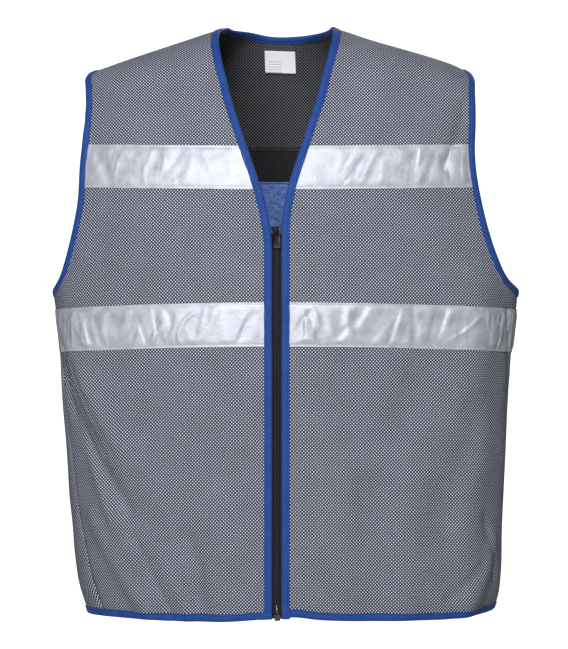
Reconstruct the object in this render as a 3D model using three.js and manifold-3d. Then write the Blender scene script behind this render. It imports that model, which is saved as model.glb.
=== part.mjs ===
// A sleeveless work vest that cools with water held in its lining: mesh cloth with blue edge binding, two rounds of
// reflective tape and a front zip. It stands as it is worn, with nobody in it.
// Millimetres, +Z up, the front faces -Y. The origin is midway between the two neck points, on the shoulder seams.
// Right and left are the wearer's: right is -X.
import * as THREE from "three";
import { mergeVertices } from "three/addons/utils/BufferGeometryUtils.js";
import Module from "manifold-3d";

const wasm = await Module();
wasm.setup();

// Body of the vest
const BODY_LENGTH = 683; // neck point to the hem's fold
const CHEST_HALF_WIDTH = 271;
const FRONT_DEPTH = 119;
const BACK_DEPTH = 109;
const NECK_HALF_WIDTH = 60.5; // middle to a neck point
const BACK_NECK_DROP = 3;
const SHOULDER_HALF_WIDTH = 223.5;
const SHOULDER_DROP = 54; // neck point to shoulder tip
const UNDERARM_DROP = 305; // neck point to the lowest point of the armhole
const V_DROP = 240; // neck point to where the front edges meet the zip
const HEM_RISE_AT_ZIP = 4;
const HEM_RISE_REACH = 70;
const HEM_RISE_AT_SIDE = { right: 1.5, left: 6 };
const RIGHT_SEAM_SWING = 26; // degrees that a side seam swings forward by the hem
const LEFT_SEAM_SWING = -7;
const FOLD_HEIGHT = 5;

// Cloth and trim
const CLOTH_WALL = 2;
const PIECE_GAP = 0.3; // between pieces that are sewn or set against each other
const BINDING_WIDTH = 9.3;
const BINDING_WALL = 1.2;
const TAPE_WIDTH = 50;
const TAPE_WALL = 1;
const FRONT_UPPER_TAPE_DROP = 145.5; // neck point to a tape's upper edge
const BACK_UPPER_TAPE_DROP = 131;
const LOWER_TAPE_DROP = 322.5;
const TAPE_SIDE_SAG = 6;
const LINING_WALL = 1.5;
const LINING_DROP = 174; // neck point to the lining's upper edge

// Zip
const ZIP_OPENING = 10.3; // between the two bound front edges
const ZIP_TAPE_WIDTH = 14;
const ZIP_TAPE_WALL = 1;
const TEETH_HALF_WIDTH = 3;
const TEETH_HEIGHT = 2.1;
const SLIDER_LENGTH = 12.5;
const SLIDER_TOP_WIDTH = 10.6;
const SLIDER_FOOT_WIDTH = 8.4;
const SLIDER_PLATE = 1.3;
const CROWN_WIDTH = 2.2;
const CROWN_LENGTH = 8;
const CROWN_WALL = 1.1;
const PULL_BAR = 1.4; // side of the pull's hinge bar
const PULL_CLEARANCE = 0.45; // round the hinge bar and beside the crown
const PULL_ARM = 1.3;
const PULL_WIDTH = 9.2;
const PULL_LENGTH = 20.5; // hinge to tip
const PULL_EYE_LENGTH = 6.5;
const PULL_WALL = 1.5;
const ZIP_BOX_WIDTH = 7.6;
const ZIP_BOX_HEIGHT = 7;
const ZIP_BOX_DEPTH = 4.4;
const ZIP_BOX_OVERHANG = 1; // below the hem's fold
const ZIP_PIN_WIDTH = 2.4;
const ZIP_PIN_HEIGHT = 7.5;

// Neck label
const LABEL_WIDTH = 37;
const LABEL_LENGTH = 28.5;
const LABEL_STRIP_LENGTH = 5;
const LABEL_WALL = 0.8;
const LABEL_CLEARANCE = 1.4; // from the cloth's inner face, which is flat between its columns, to the label's back
const LABEL_OFF_CENTRE = 3;

// Steps of the faceted solids
const FINE_STEP = 7; // along a fold line, where it turns sharply
const LONGEST_STEP = 50; // where it runs straight
const MOST_TURN = 0.29; // radians from one facet of a fold line to the next
const ZIP_STEP = 30;
const LINE_SAMPLES = 150;
const NECK_PLUG_REACH = 4; // how far a cutting plug stands out of the cloth on each side
const ARM_PLUG_REACH = 18;
const NEAR_CLOTH = 3; // within this height a plug's wall follows the fold line closely
const ABOVE_NECK = 12; // how far the plugs reach above the neck points
const SLIVER = 0.06; // faces that stand this little out of line are joined

// Yoke, from the neck points to the shoulder tips. down is a share of SHOULDER_DROP, the widths run from the neck
// half width (0) to the shoulder half width (1), and the depths are shares of FRONT_DEPTH and BACK_DEPTH.
const YOKE = [
  { down: -0.24, right: -0.23, left: -0.2, front: 0.27, back: 0.47 },
  { down: 0, right: -0.035, left: 0.009, front: 0.36, back: 0.57 },
  { down: 0.13, right: 0.11, left: 0.14, front: 0.43, back: 0.615 },
  { down: 0.3, right: 0.282, left: 0.308, front: 0.49, back: 0.655 },
  { down: 0.56, right: 0.545, left: 0.61, front: 0.56, back: 0.71 },
  { down: 0.82, right: 0.8, left: 0.885, front: 0.62, back: 0.755 },
  { down: 1, right: 0.96, left: 1.005, front: 0.66, back: 0.785 },
];
// Armhole zone, from the shoulder tips (0) to the underarm (1), widths as shares of CHEST_HALF_WIDTH
const ARM_ZONE = [
  { down: 0.084, right: 0.9, left: 0.925, front: 0.72, back: 0.835 },
  { down: 0.183, right: 0.952, left: 0.98, front: 0.79, back: 0.89 },
  { down: 0.382, right: 0.986, left: 1.015, front: 0.88, back: 0.963 },
  { down: 0.661, right: 0.984, left: 1.037, front: 0.958, back: 1 },
  { down: 1, right: 0.96, left: 1.035, front: 1, back: 0.99 },
];
// Skirt, from the underarm (0) to the hem (1). The cloth draws in over the hem binding.
const SKIRT = [
  { down: 0.188, right: 0.931, left: 1.006, front: 1, back: 0.965 },
  { down: 0.33, right: 0.922, left: 0.991, front: 0.995, back: 0.94 },
  { down: 0.468, right: 0.906, left: 0.982, front: 0.975, back: 0.915 },
  { down: 0.606, right: 0.892, left: 0.973, front: 0.955, back: 0.895 },
  { down: 0.743, right: 0.876, left: 0.964, front: 0.94, back: 0.885 },
  { down: 0.884, right: 0.852, left: 0.957, front: 0.92, back: 0.875 },
  { down: 0.96, right: 0.825, left: 0.94, front: 0.895, back: 0.855 },
  { down: 1, right: 0.805, left: 0.912, front: 0.875, back: 0.835 },
];
// Front edge of each side: down is a share of V_DROP, out runs from the zip opening (0) to the neck half width (1)
const NECK_EDGE = [
  { down: 0, right: 0.983, left: 1.017 },
  { down: 0.03, right: 1.07, left: 1.055 },
  { down: 0.081, right: 1.1, left: 1.027 },
  { down: 0.188, right: 1.03, left: 0.916 },
  { down: 0.288, right: 0.927, left: 0.812 },
  { down: 0.388, right: 0.82, left: 0.705 },
  { down: 0.483, right: 0.69, left: 0.565 },
  { down: 0.579, right: 0.554, left: 0.441 },
  { down: 0.675, right: 0.411, left: 0.3 },
  { down: 0.77, right: 0.27, left: 0.165 },
  { down: 0.863, right: 0.158, left: 0.07 },
  { down: 0.958, right: 0.087, left: 0.01 },
  { down: 1.05, right: 0.033, left: 0 },
  { down: 1.24, right: 0, left: 0 },
  { down: 3.2, right: 0, left: 0 },
];
// Front half of each armhole's edge. up runs from the underarm (0) to the shoulder tip (1), and right and left are
// places round the body: 0 at the zip, 1 at the side seam. The back half mirrors it, BACK_ARM_EASE nearer the seam.
const ARM_EDGE = [
  { up: 0, right: 1, left: 1 },
  { up: 0.018, right: 0.88, left: 0.86 },
  { up: 0.06, right: 0.805, left: 0.765 },
  { up: 0.131, right: 0.75, left: 0.707 },
  { up: 0.267, right: 0.686, left: 0.656 },
  { up: 0.404, right: 0.649, left: 0.626 },
  { up: 0.542, right: 0.638, left: 0.613 },
  { up: 0.681, right: 0.634, left: 0.625 },
  { up: 0.821, right: 0.65, left: 0.66 },
  { up: 0.9, right: 0.7, left: 0.71 },
  { up: 0.965, right: 0.82, left: 0.83 },
  { up: 1, right: 1, left: 1 },
];
const BACK_ARM_EASE = 0.03;
// Soft folds of the skirt, as ridges (height above 0) and valleys. Each runs from one place to another: round is a
// place round the body, up a share of the skirt from the hem, width a share of CHEST_HALF_WIDTH and height a share
// of FOLD_HEIGHT.
const FOLDS = [
  { name: "right side valley", round: -0.93, up: 0.74, toRound: -0.62, toUp: 0.34, width: 0.055, height: -0.9 },
  { name: "right side ridge", round: -0.83, up: 0.78, toRound: -0.5, toUp: 0.4, width: 0.09, height: 0.5 },
  { name: "right corner ridge", round: -0.86, up: 0.3, toRound: -0.66, toUp: 0.05, width: 0.07, height: 0.7 },
  { name: "right front valley", round: -0.36, up: 0.24, toRound: -0.33, toUp: 0.04, width: 0.06, height: -0.6 },
  { name: "right front ridge", round: -0.2, up: 0.34, toRound: -0.27, toUp: 0.04, width: 0.09, height: 0.5 },
  { name: "left front valley", round: 0.24, up: 0.34, toRound: 0.26, toUp: 0.04, width: 0.06, height: -0.8 },
  { name: "left front ridge", round: 0.37, up: 0.42, toRound: 0.35, toUp: 0.06, width: 0.1, height: 0.5 },
  { name: "left side valley", round: 0.6, up: 0.6, toRound: 0.5, toUp: 0.3, width: 0.08, height: -0.7 },
  { name: "left corner ridge", round: 0.74, up: 0.22, toRound: 0.6, toUp: 0.03, width: 0.06, height: 0.7 },
  { name: "left chest valley", round: 0.42, up: 0.77, toRound: 0.34, toUp: 0.62, width: 0.07, height: -0.5 },
  { name: "back right valley", round: -1.72, up: 0.5, toRound: -1.66, toUp: 0.05, width: 0.09, height: -0.8 },
  { name: "back left valley", round: 1.6, up: 0.55, toRound: 1.68, toUp: 0.05, width: 0.09, height: -0.8 },
  { name: "back middle ridge", round: 1.9, up: 0.6, toRound: 1.94, toUp: 0.08, width: 0.12, height: 0.6 },
];

// Grid columns round one half of the front, closer together at the side, where the cloth turns
const COLUMNS = [0, 0.15, 0.3, 0.45, 0.59, 0.72, 0.83, 0.92, 1];

const lerp = THREE.MathUtils.lerp;
const clothHalf = CLOTH_WALL / 2;
const skirtLength = BODY_LENGTH - UNDERARM_DROP;
const armZoneLength = UNDERARM_DROP - SHOULDER_DROP;
const zipEdge = ZIP_OPENING / 2;
const bindingHalf = clothHalf + PIECE_GAP + BINDING_WALL;

const yokeSections = YOKE.map((row) => ({
  z: -row.down * SHOULDER_DROP,
  right: lerp(NECK_HALF_WIDTH, SHOULDER_HALF_WIDTH, row.right),
  left: lerp(NECK_HALF_WIDTH, SHOULDER_HALF_WIDTH, row.left),
  front: row.front * FRONT_DEPTH,
  back: row.back * BACK_DEPTH,
}));
const bodySections = (rows, top, length) =>
  rows.map((row) => ({
    z: -top - row.down * length,
    right: row.right * CHEST_HALF_WIDTH,
    left: row.left * CHEST_HALF_WIDTH,
    front: row.front * FRONT_DEPTH,
    back: row.back * BACK_DEPTH,
  }));
const sections = [
  ...yokeSections,
  ...bodySections(ARM_ZONE, SHOULDER_DROP, armZoneLength),
  ...bodySections(SKIRT, UNDERARM_DROP, skirtLength),
];
const neckEdge = NECK_EDGE.map((row) => ({
  z: -row.down * V_DROP,
  right: lerp(zipEdge, NECK_HALF_WIDTH, row.right),
  left: lerp(zipEdge, NECK_HALF_WIDTH, row.left),
}));

// A smooth value of one column of a table whose rows run downwards in z
function valueAt(rows, column, z) {
  const last = rows.length - 2;
  let i = 0;
  while (i < last && z < rows[i + 1].z) i++;
  const [before, low, high, after] = [rows[i - 1], rows[i], rows[i + 1], rows[i + 2]];
  const slope = (a, b) => (b[column] - a[column]) / (b.z - a.z);
  const middle = slope(low, high);
  const start = before ? (slope(before, low) + middle) / 2 : middle;
  const end = after ? (slope(high, after) + middle) / 2 : middle;
  const span = high.z - low.z;
  const t = THREE.MathUtils.clamp((z - low.z) / span, -1, 2);
  if (t < 0) return low[column] + start * (z - low.z);
  if (t > 1) return high[column] + end * (z - high.z);
  const u = 1 - t;
  return (
    (1 + 2 * t) * u * u * low[column] +
    t * u * u * span * start +
    t * t * (3 - 2 * t) * high[column] -
    t * t * u * span * end
  );
}

// A place on the cloth is { s, z }: s goes round the body, 0 at the zip, 1 at the left side seam, 2 at the centre back
// and 3 or -1 at the right side seam, and z is the height.
function sideOf(s) {
  const turn = THREE.MathUtils.euclideanModulo(s + 2, 4) - 2;
  return { side: turn < 0 ? "right" : "left", sign: turn < 0 ? -1 : 1, round: Math.abs(turn) };
}

function seamAngle(side, z) {
  const swing = side === "right" ? RIGHT_SEAM_SWING : LEFT_SEAM_SWING;
  const share = THREE.MathUtils.clamp((-z - UNDERARM_DROP) / skirtLength, 0, 1);
  return Math.PI / 2 - THREE.MathUtils.degToRad(swing) * share;
}

function foldHeight(s, z) {
  const { sign, round } = sideOf(s);
  const across = CHEST_HALF_WIDTH * 1.2;
  const here = new THREE.Vector2(sign * round * across, z);
  let height = 0;
  for (const fold of FOLDS) {
    const from = new THREE.Vector2(fold.round * across, fold.up * skirtLength - BODY_LENGTH);
    const to = new THREE.Vector2(fold.toRound * across, fold.toUp * skirtLength - BODY_LENGTH);
    const run = to.clone().sub(from);
    const along = THREE.MathUtils.clamp(here.clone().sub(from).dot(run) / run.lengthSq(), 0, 1);
    const off = here.distanceTo(from.addScaledVector(run, along)) / (fold.width * CHEST_HALF_WIDTH);
    height += fold.height * FOLD_HEIGHT * Math.exp(-off * off);
  }
  return height;
}

function pointOn({ s, z }) {
  const { side, sign, round } = sideOf(s);
  const seam = seamAngle(side, z);
  const angle = sign * (round <= 1 ? round * seam : lerp(seam, Math.PI, round - 1));
  const width = valueAt(sections, side, z);
  const depth = valueAt(sections, Math.cos(angle) > 0 ? "front" : "back", z);
  const outward = new THREE.Vector3(Math.sin(angle) / width, -Math.cos(angle) / depth, 0).normalize();
  const point = new THREE.Vector3(width * Math.sin(angle), -depth * Math.cos(angle), z);
  return point.addScaledVector(outward, foldHeight(s, z));
}

// The cloth's point, its two directions and its outward normal at a place
function frameOn({ s, z }) {
  const ds = 0.002;
  const dz = 0.4;
  const round = pointOn({ s: s + ds, z }).sub(pointOn({ s: s - ds, z })).divideScalar(2 * ds);
  const up = pointOn({ s, z: z + dz }).sub(pointOn({ s, z: z - dz })).divideScalar(2 * dz);
  return { point: pointOn({ s, z }), round, up, normal: round.clone().cross(up).normalize() };
}

// Goes a real distance over the cloth, to the left of a direction, as seen from outside
function goLeft(place, direction, distance) {
  const steps = 4;
  let { s, z } = place;
  for (let i = 0; i < steps; i++) {
    const { round, up, normal } = frameOn({ s, z });
    const left = normal.cross(direction).setLength(distance / steps);
    const [rr, ru, uu] = [round.dot(round), round.dot(up), up.dot(up)];
    const [r, u] = [left.dot(round), left.dot(up)];
    s += (r * uu - u * ru) / (rr * uu - ru * ru);
    z += (u * rr - r * ru) / (rr * uu - ru * ru);
  }
  return { s, z };
}

function directionsOf(line, closed) {
  const points = line.map(pointOn);
  const last = points.length - 1;
  return points.map((_, i) => {
    const next = points[i === last ? (closed ? 0 : last) : i + 1];
    const before = points[i === 0 ? (closed ? last : 0) : i - 1];
    return next.clone().sub(before).normalize();
  });
}

const shifted = (line, distance, closed = false) => {
  const directions = directionsOf(line, closed);
  return line.map((place, i) => goLeft(place, directions[i], distance));
};

// The same line with its places at equal real distances of about step
function evenly(line, step, closed = false) {
  const places = closed ? [...line, line[0]] : line;
  const points = places.map(pointOn);
  const walked = [0];
  for (let i = 1; i < points.length; i++) walked.push(walked[i - 1] + points[i].distanceTo(points[i - 1]));
  const count = Math.round(walked.at(-1) / step);
  const spaced = [];
  for (let k = 0, i = 0; k <= count - (closed ? 1 : 0); k++) {
    const distance = (walked.at(-1) * k) / count;
    while (i < walked.length - 2 && walked[i + 1] < distance) i++;
    const share = (distance - walked[i]) / (walked[i + 1] - walked[i]);
    const next = places[i + 1];
    const s = closed && Math.abs(next.s - places[i].s) > 2 ? places[i].s : lerp(places[i].s, next.s, share);
    spaced.push({ s, z: lerp(places[i].z, next.z, share) });
  }
  return spaced;
}

// A fold line as few places: close together where it turns, far apart where it runs straight
function paced(line, closed = false) {
  const fine = evenly(line, FINE_STEP, closed);
  const directions = directionsOf(fine, closed);
  let last = 0;
  const kept = fine.filter((_, i) => {
    const far = (i - last) * FINE_STEP >= LONGEST_STEP;
    if (i > 0 && !far && directions[i].angleTo(directions[last]) < MOST_TURN) return false;
    last = i;
    return true;
  });
  return closed || kept.at(-1) === fine.at(-1) ? kept : [...kept, fine.at(-1)];
}

const hemHeight = (s) => {
  const { side, round } = sideOf(s);
  const off = (round * (Math.PI / 2) * CHEST_HALF_WIDTH) / HEM_RISE_REACH;
  const toSide = THREE.MathUtils.smoothstep(1 - Math.abs(1 - round), 0.45, 0.95);
  return -BODY_LENGTH + HEM_RISE_AT_ZIP * Math.exp(-off * off) + HEM_RISE_AT_SIDE[side] * toSide;
};

// The place round the body of a front edge at a distance x from the middle
function roundAt(side, x, z) {
  const width = valueAt(sections, side, z);
  return Math.asin(Math.min(1, x / width)) / seamAngle(side, z);
}
const edgeRound = (side, z) => roundAt(side, valueAt(neckEdge, side, Math.max(z, -V_DROP * 3)), z);

// Fold line of the front edges and neck: up the right front edge, round the back neck, down the left front edge.
// The cloth is on its left.
const frontHeights = Array.from({ length: LINE_SAMPLES }, (_, i) => -BODY_LENGTH * (1 - i / LINE_SAMPLES) ** 2);
const rightEdge = frontHeights.map((z) => ({ s: -edgeRound("right", z), z }));
const leftEdge = frontHeights.map((z) => ({ s: edgeRound("left", z) - 4, z })).reverse();
const backNeck = Array.from({ length: 61 }, (_, i) => {
  const s = -1 - i / 30;
  return { s, z: -BACK_NECK_DROP * Math.sin(((-1 - s) * Math.PI) / 2) ** 2 };
});
const neckLine = paced([...rightEdge, ...backNeck, ...leftEdge]);

// Fold line of an armhole, a closed loop with the cloth on its left
function armLine(side) {
  const height = (row) => lerp(-UNDERARM_DROP, -SHOULDER_DROP, row.up);
  const front = ARM_EDGE.map((row) => ({ s: row[side], z: height(row) }));
  const back = ARM_EDGE.slice(1, -1).map((row) => ({ s: 2 - row[side] - BACK_ARM_EASE, z: height(row) }));
  const loop = [...front, ...back.reverse()];
  const scale = CHEST_HALF_WIDTH;
  const curve = new THREE.CatmullRomCurve3(
    loop.map(({ s, z }) => new THREE.Vector3(s * scale, z, 0)),
    true,
    "centripetal",
  );
  const smooth = curve.getPoints(LINE_SAMPLES).slice(0, -1);
  // Up the front and down the back keeps the cloth on the left side's right, so that side is walked backwards.
  const places = smooth.map((p) => ({ s: p.x / scale, z: p.y }));
  return paced(side === "left" ? places : places.map(({ s, z }) => ({ s: -s, z })).reverse(), true);
}
const armLines = { left: armLine("left"), right: armLine("right") };

// Fold line of the hem, with a place on every column of the cloth's grid
function hemLine() {
  const from = roundAt("left", zipEdge, -BODY_LENGTH);
  const to = 4 - roundAt("right", zipEdge, -BODY_LENGTH);
  const turns = [0, 1, 2, 3].flatMap((turn) => COLUMNS.slice(1).map((s) => (turn % 2 ? turn + 1 - s : turn + s)));
  const between = turns.filter((s) => s > from && s < to && !Number.isInteger(s / 2)).sort((a, b) => a - b);
  return [from, ...between, 2, to].sort((a, b) => a - b).map((s) => ({ s, z: hemHeight(s) }));
}

// Closed geometry from vertices and faces: drops faces that have no area and turns it to face out
function closedGeometry(vertices, faces) {
  const raw = new THREE.BufferGeometry();
  raw.setAttribute("position", new THREE.Float32BufferAttribute(vertices.flatMap((v) => v.toArray()), 3));
  raw.setIndex(faces.flat());
  const merged = mergeVertices(raw, 1e-3);
  const index = merged.index.array;
  const kept = [];
  for (let i = 0; i < index.length; i += 3) {
    const [a, b, c] = index.slice(i, i + 3);
    if (a !== b && b !== c && c !== a) kept.push([a, b, c]);
  }
  const at = (i) => new THREE.Vector3().fromBufferAttribute(merged.attributes.position, i);
  const volume = kept.reduce((sum, [a, b, c]) => sum + at(a).dot(at(b).cross(at(c))), 0);
  merged.setIndex(kept.flatMap(([a, b, c]) => (volume < 0 ? [a, c, b] : [a, b, c])));
  return merged;
}

// A slab over rows of places, from the first to the last of some heights above the cloth's middle
function slab(rows, ...offsets) {
  const [height, width] = [rows.length, rows[0].length];
  const frames = rows.flat().map(frameOn);
  const vertices = offsets.flatMap((offset) =>
    frames.map(({ point, normal }) => point.clone().addScaledVector(normal, offset)),
  );
  const at = (layer, r, c) => layer * height * width + r * width + c;
  const faces = [];
  const quad = (a, b, c, d) => faces.push([a, b, c], [a, c, d]);
  const top = offsets.length - 1;
  for (let r = 0; r < height - 1; r++) {
    for (let c = 0; c < width - 1; c++) {
      quad(at(top, r, c), at(top, r, c + 1), at(top, r + 1, c + 1), at(top, r + 1, c));
      faces.push([at(0, r, c), at(0, r + 1, c + 1), at(0, r, c + 1)]);
      faces.push([at(0, r, c), at(0, r + 1, c), at(0, r + 1, c + 1)]);
    }
  }
  for (let k = 0; k < top; k++) {
    for (let c = 0; c < width - 1; c++) {
      quad(at(k, 0, c), at(k, 0, c + 1), at(k + 1, 0, c + 1), at(k + 1, 0, c));
      quad(at(k, height - 1, c + 1), at(k, height - 1, c), at(k + 1, height - 1, c), at(k + 1, height - 1, c + 1));
    }
    for (let r = 0; r < height - 1; r++) {
      quad(at(k, r + 1, 0), at(k, r, 0), at(k + 1, r, 0), at(k + 1, r + 1, 0));
      quad(at(k, r, width - 1), at(k, r + 1, width - 1), at(k + 1, r + 1, width - 1), at(k + 1, r, width - 1));
    }
  }
  return solidOf(closedGeometry(vertices, faces));
}

function solidOf(geometry) {
  const plain = geometry.clone();
  for (const name of ["normal", "uv"]) plain.deleteAttribute(name);
  const merged = mergeVertices(plain, 1e-3);
  const vertProperties = new Float32Array(merged.attributes.position.array);
  return new wasm.Manifold(
    new wasm.Mesh({ numProp: 3, vertProperties, triVerts: new Uint32Array(merged.index.array) }),
  );
}

function geometryOf(solid) {
  const { numProp, numVert, vertProperties, triVerts } = solid.getMesh();
  const positions = new Float32Array(numVert * 3);
  for (let i = 0; i < numVert; i++) {
    positions.set(vertProperties.subarray(i * numProp, i * numProp + 3), i * 3);
  }
  const geometry = new THREE.BufferGeometry();
  geometry.setAttribute("position", new THREE.BufferAttribute(positions, 3));
  geometry.setIndex(new THREE.BufferAttribute(triVerts, 1));
  const flat = geometry.toNonIndexed();
  flat.computeVertexNormals();
  return flat;
}

// Plugs that cut the openings out of the cloth, each grown by a real distance over the cloth
function neckPlugs(grow) {
  const line = shifted(neckLine, grow);
  const last = line.length - 1;
  const turn = neckLine.findIndex(({ z }) => z > -V_DROP * 0.09);
  const rows = [];
  for (let i = 0; i <= turn; i++) {
    const [from, to] = [line[i], { s: line[last - i].s + 4, z: line[last - i].z }];
    rows.push([from, { s: (from.s + to.s) / 2, z: (from.z + to.z) / 2 }, to]);
  }
  const widest = rows.at(-1);
  rows.unshift(rows[0].map(({ s, z }) => ({ s, z: z - ABOVE_NECK })));
  for (const share of [0.35, 0.7, 1]) {
    rows.push(widest.map(({ s, z }) => ({ s, z: lerp(z, ABOVE_NECK, share) })));
  }
  const front = slab(rows, -NECK_PLUG_REACH, 0, NECK_PLUG_REACH);
  const rim = line.slice(turn - 1, last - turn + 2);
  const tops = [0, 0.2, 0.45, 0.7, 1].map((share) =>
    rim.map(({ s, z }) => ({ s, z: lerp(z, ABOVE_NECK, share) })).reverse(),
  );
  return front.add(slab(tops, -NECK_PLUG_REACH, 0, NECK_PLUG_REACH));
}

function armPlug(side, grow) {
  const line = shifted(armLines[side], grow, true);
  const lowest = line.reduce((best, place, i) => (place.z < line[best].z ? i : best), 0);
  const half = Math.floor(line.length / 2);
  const at = (i) => line[(lowest + i + line.length * 2) % line.length];
  const columns = Array.from({ length: 9 }, (_, c) => c / 8);
  const rows = [];
  for (let i = 0; i <= half; i++) {
    const [a, b] = [at(i), at(-i)];
    rows.push(columns.map((share) => ({ s: lerp(a.s, b.s, share), z: lerp(a.z, b.z, share) })));
  }
  return slab(rows, -ARM_PLUG_REACH, -NEAR_CLOTH, 0, NEAR_CLOTH, ARM_PLUG_REACH);
}

// Rows of the cloth's grid, as heights at the zip, the side seams and the centre back
function levels() {
  const lowTop = -LOWER_TAPE_DROP;
  const lowFoot = lowTop - TAPE_WIDTH;
  const same = (z) => ({ front: z, side: z, back: z });
  const skirt = (share) => same(lerp(-BODY_LENGTH, lowFoot - TAPE_SIDE_SAG, share));
  const upper = (share) => ({
    front: -FRONT_UPPER_TAPE_DROP - TAPE_WIDTH * share,
    side: -(FRONT_UPPER_TAPE_DROP + BACK_UPPER_TAPE_DROP) / 2 - TAPE_WIDTH * share,
    back: -BACK_UPPER_TAPE_DROP - TAPE_WIDTH * share,
  });
  const liningShare = (LINING_DROP - BACK_UPPER_TAPE_DROP) / TAPE_WIDTH;
  const yoke = (share) => same(-SHOULDER_DROP * share);
  const between = (share) => ({
    front: lerp(-UNDERARM_DROP, upper(1).front, share),
    side: lerp(-UNDERARM_DROP, upper(1).side, share),
    back: lerp(-UNDERARM_DROP, upper(1).back, share),
  });
  return {
    skirt: [0.2, 0.46, 0.74].map(skirt),
    lowFoot: { front: lowFoot, side: lowFoot - TAPE_SIDE_SAG, back: lowFoot },
    lowTop: { front: lowTop, side: lowTop - TAPE_SIDE_SAG, back: lowTop },
    underarm: [0, 0.45].map(between),
    upperFoot: upper(1),
    liningTop: upper(liningShare),
    upperTop: upper(0),
    chest: [0.5].map((share) => ({
      front: lerp(-FRONT_UPPER_TAPE_DROP, -SHOULDER_DROP, share),
      side: lerp(upper(0).side, -SHOULDER_DROP, share),
      back: lerp(-BACK_UPPER_TAPE_DROP, -SHOULDER_DROP, share),
    })),
    yoke: [1, 0.6, 0.25, 0, -0.06].map(yoke),
  };
}
const level = levels();
const rowOf = (heights, columns) =>
  columns.map((s) => {
    const { round } = sideOf(s);
    const share = Math.sin((Math.min(round, 2) * Math.PI) / 2) ** 2;
    return { s, z: lerp(round <= 1 ? heights.front : heights.back, heights.side, share) };
  });
const hemRow = (rise, columns) => columns.map((s) => ({ s, z: hemHeight(s) + rise }));
const hemTop = BINDING_WIDTH + 2 * PIECE_GAP;
const liningHeights = [...level.skirt, level.lowFoot, level.lowTop, ...level.underarm, level.upperFoot];
const bodyHeights = [...liningHeights, level.liningTop, level.upperTop, ...level.chest, ...level.yoke];

const frontLeftColumns = COLUMNS;
const frontRightColumns = COLUMNS.map((s) => -s).reverse();
const backColumns = [...COLUMNS.map((s) => 2 - s).reverse(), ...COLUMNS.slice(1).map((s) => 2 + s)];

// Stops rows of places a real distance short of the side seams, or past them if trim is below 0
function trimmed(rows, trim) {
  return rows.map((row) =>
    row.map((place, i) => {
      const atSeam = Math.abs(sideOf(place.s).round - 1) < 1e-6;
      if (!atSeam || (i > 0 && i < row.length - 1)) return place;
      const share = trim / frameOn(place).round.length();
      return { s: place.s + (i === 0 ? share : -share), z: place.z };
    }),
  );
}

const foldInset = BINDING_WALL + PIECE_GAP;

// A panel of mesh cloth. grow makes it larger on every side, for a cutter that leaves a gap round the cloth.
function clothPanel(columns, grow) {
  const hem = [foldInset - grow, hemTop].map((rise) => hemRow(rise, columns));
  const rows = [...hem, ...bodyHeights.map((heights) => rowOf(heights, columns))];
  return slab(trimmed(rows, PIECE_GAP / 2 - grow), -clothHalf - grow, clothHalf + grow)
    .subtract(neckPlugs(foldInset - grow))
    .subtract(armPlug("left", foldInset - grow))
    .subtract(armPlug("right", foldInset - grow))
    .simplify(SLIVER);
}

const panelColumns = { front_left: frontLeftColumns, front_right: frontRightColumns, back: backColumns };
const cutter = Object.values(panelColumns)
  .map((columns) => clothPanel(columns, PIECE_GAP))
  .reduce((joined, panel) => joined.add(panel));

// Edge binding: a flat bead along a fold line, hollowed where the cloth's edge goes in
const BINDING_SECTION = [
  { in: 1, height: 1 },
  { in: 0, height: 0.75 },
  { in: 0, height: -0.75 },
  { in: 1, height: -1 },
];
function binding(fold, closed) {
  const directions = directionsOf(fold, closed);
  const width = BINDING_SECTION.length;
  const vertices = fold.flatMap((place, i) =>
    BINDING_SECTION.map((corner) => {
      const { point, normal } = frameOn(goLeft(place, directions[i], corner.in * BINDING_WIDTH));
      return point.addScaledVector(normal, corner.height * bindingHalf);
    }),
  );
  const faces = [];
  const rings = fold.length;
  for (let r = 0; r < rings - (closed ? 0 : 1); r++) {
    for (let c = 0; c < width; c++) {
      const [a, b] = [r * width + c, r * width + ((c + 1) % width)];
      const [d, e] = [((r + 1) % rings) * width + c, ((r + 1) % rings) * width + ((c + 1) % width)];
      faces.push([a, b, e], [a, e, d]);
    }
  }
  if (!closed) {
    for (let c = 1; c < width - 1; c++) {
      faces.push([0, c + 1, c], [(rings - 1) * width, (rings - 1) * width + c, (rings - 1) * width + c + 1]);
    }
  }
  const bead = solidOf(closedGeometry(vertices, faces)).subtract(cutter).simplify(SLIVER);
  return bead.decompose().reduce((largest, body) => (body.volume() > largest.volume() ? body : largest));
}

const edgeFoot = hemHeight(0) + BINDING_WIDTH + PIECE_GAP;
const aboveHem = [
  { s: -edgeRound("right", edgeFoot), z: edgeFoot },
  ...neckLine.filter(({ z }) => z > edgeFoot + FINE_STEP),
  { s: edgeRound("left", edgeFoot) - 4, z: edgeFoot },
];

const clear = BINDING_WIDTH + 2 * PIECE_GAP;
const openings = neckPlugs(clear).add(armPlug("left", clear)).add(armPlug("right", clear));

// A piece laid on the cloth's outer or inner face, clear of the bindings
function laid(rows, wall, outside) {
  const near = clothHalf + PIECE_GAP;
  const seamed = trimmed(rows, PIECE_GAP / 2);
  const piece = outside ? slab(seamed, near, near + wall) : slab(seamed, -near - wall, -near);
  return piece.subtract(openings).simplify(SLIVER);
}

const upperTapeHeights = [level.upperFoot, level.liningTop, level.upperTop];
const lowerTapeHeights = [level.lowFoot, level.lowTop];
const tapeOn = (heights, columns) => laid(heights.map((height) => rowOf(height, columns)), TAPE_WALL, true);
const liningRows = [hemRow(hemTop, backColumns), ...[...liningHeights, level.liningTop].map((height) =>
  rowOf(height, backColumns))];

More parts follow.
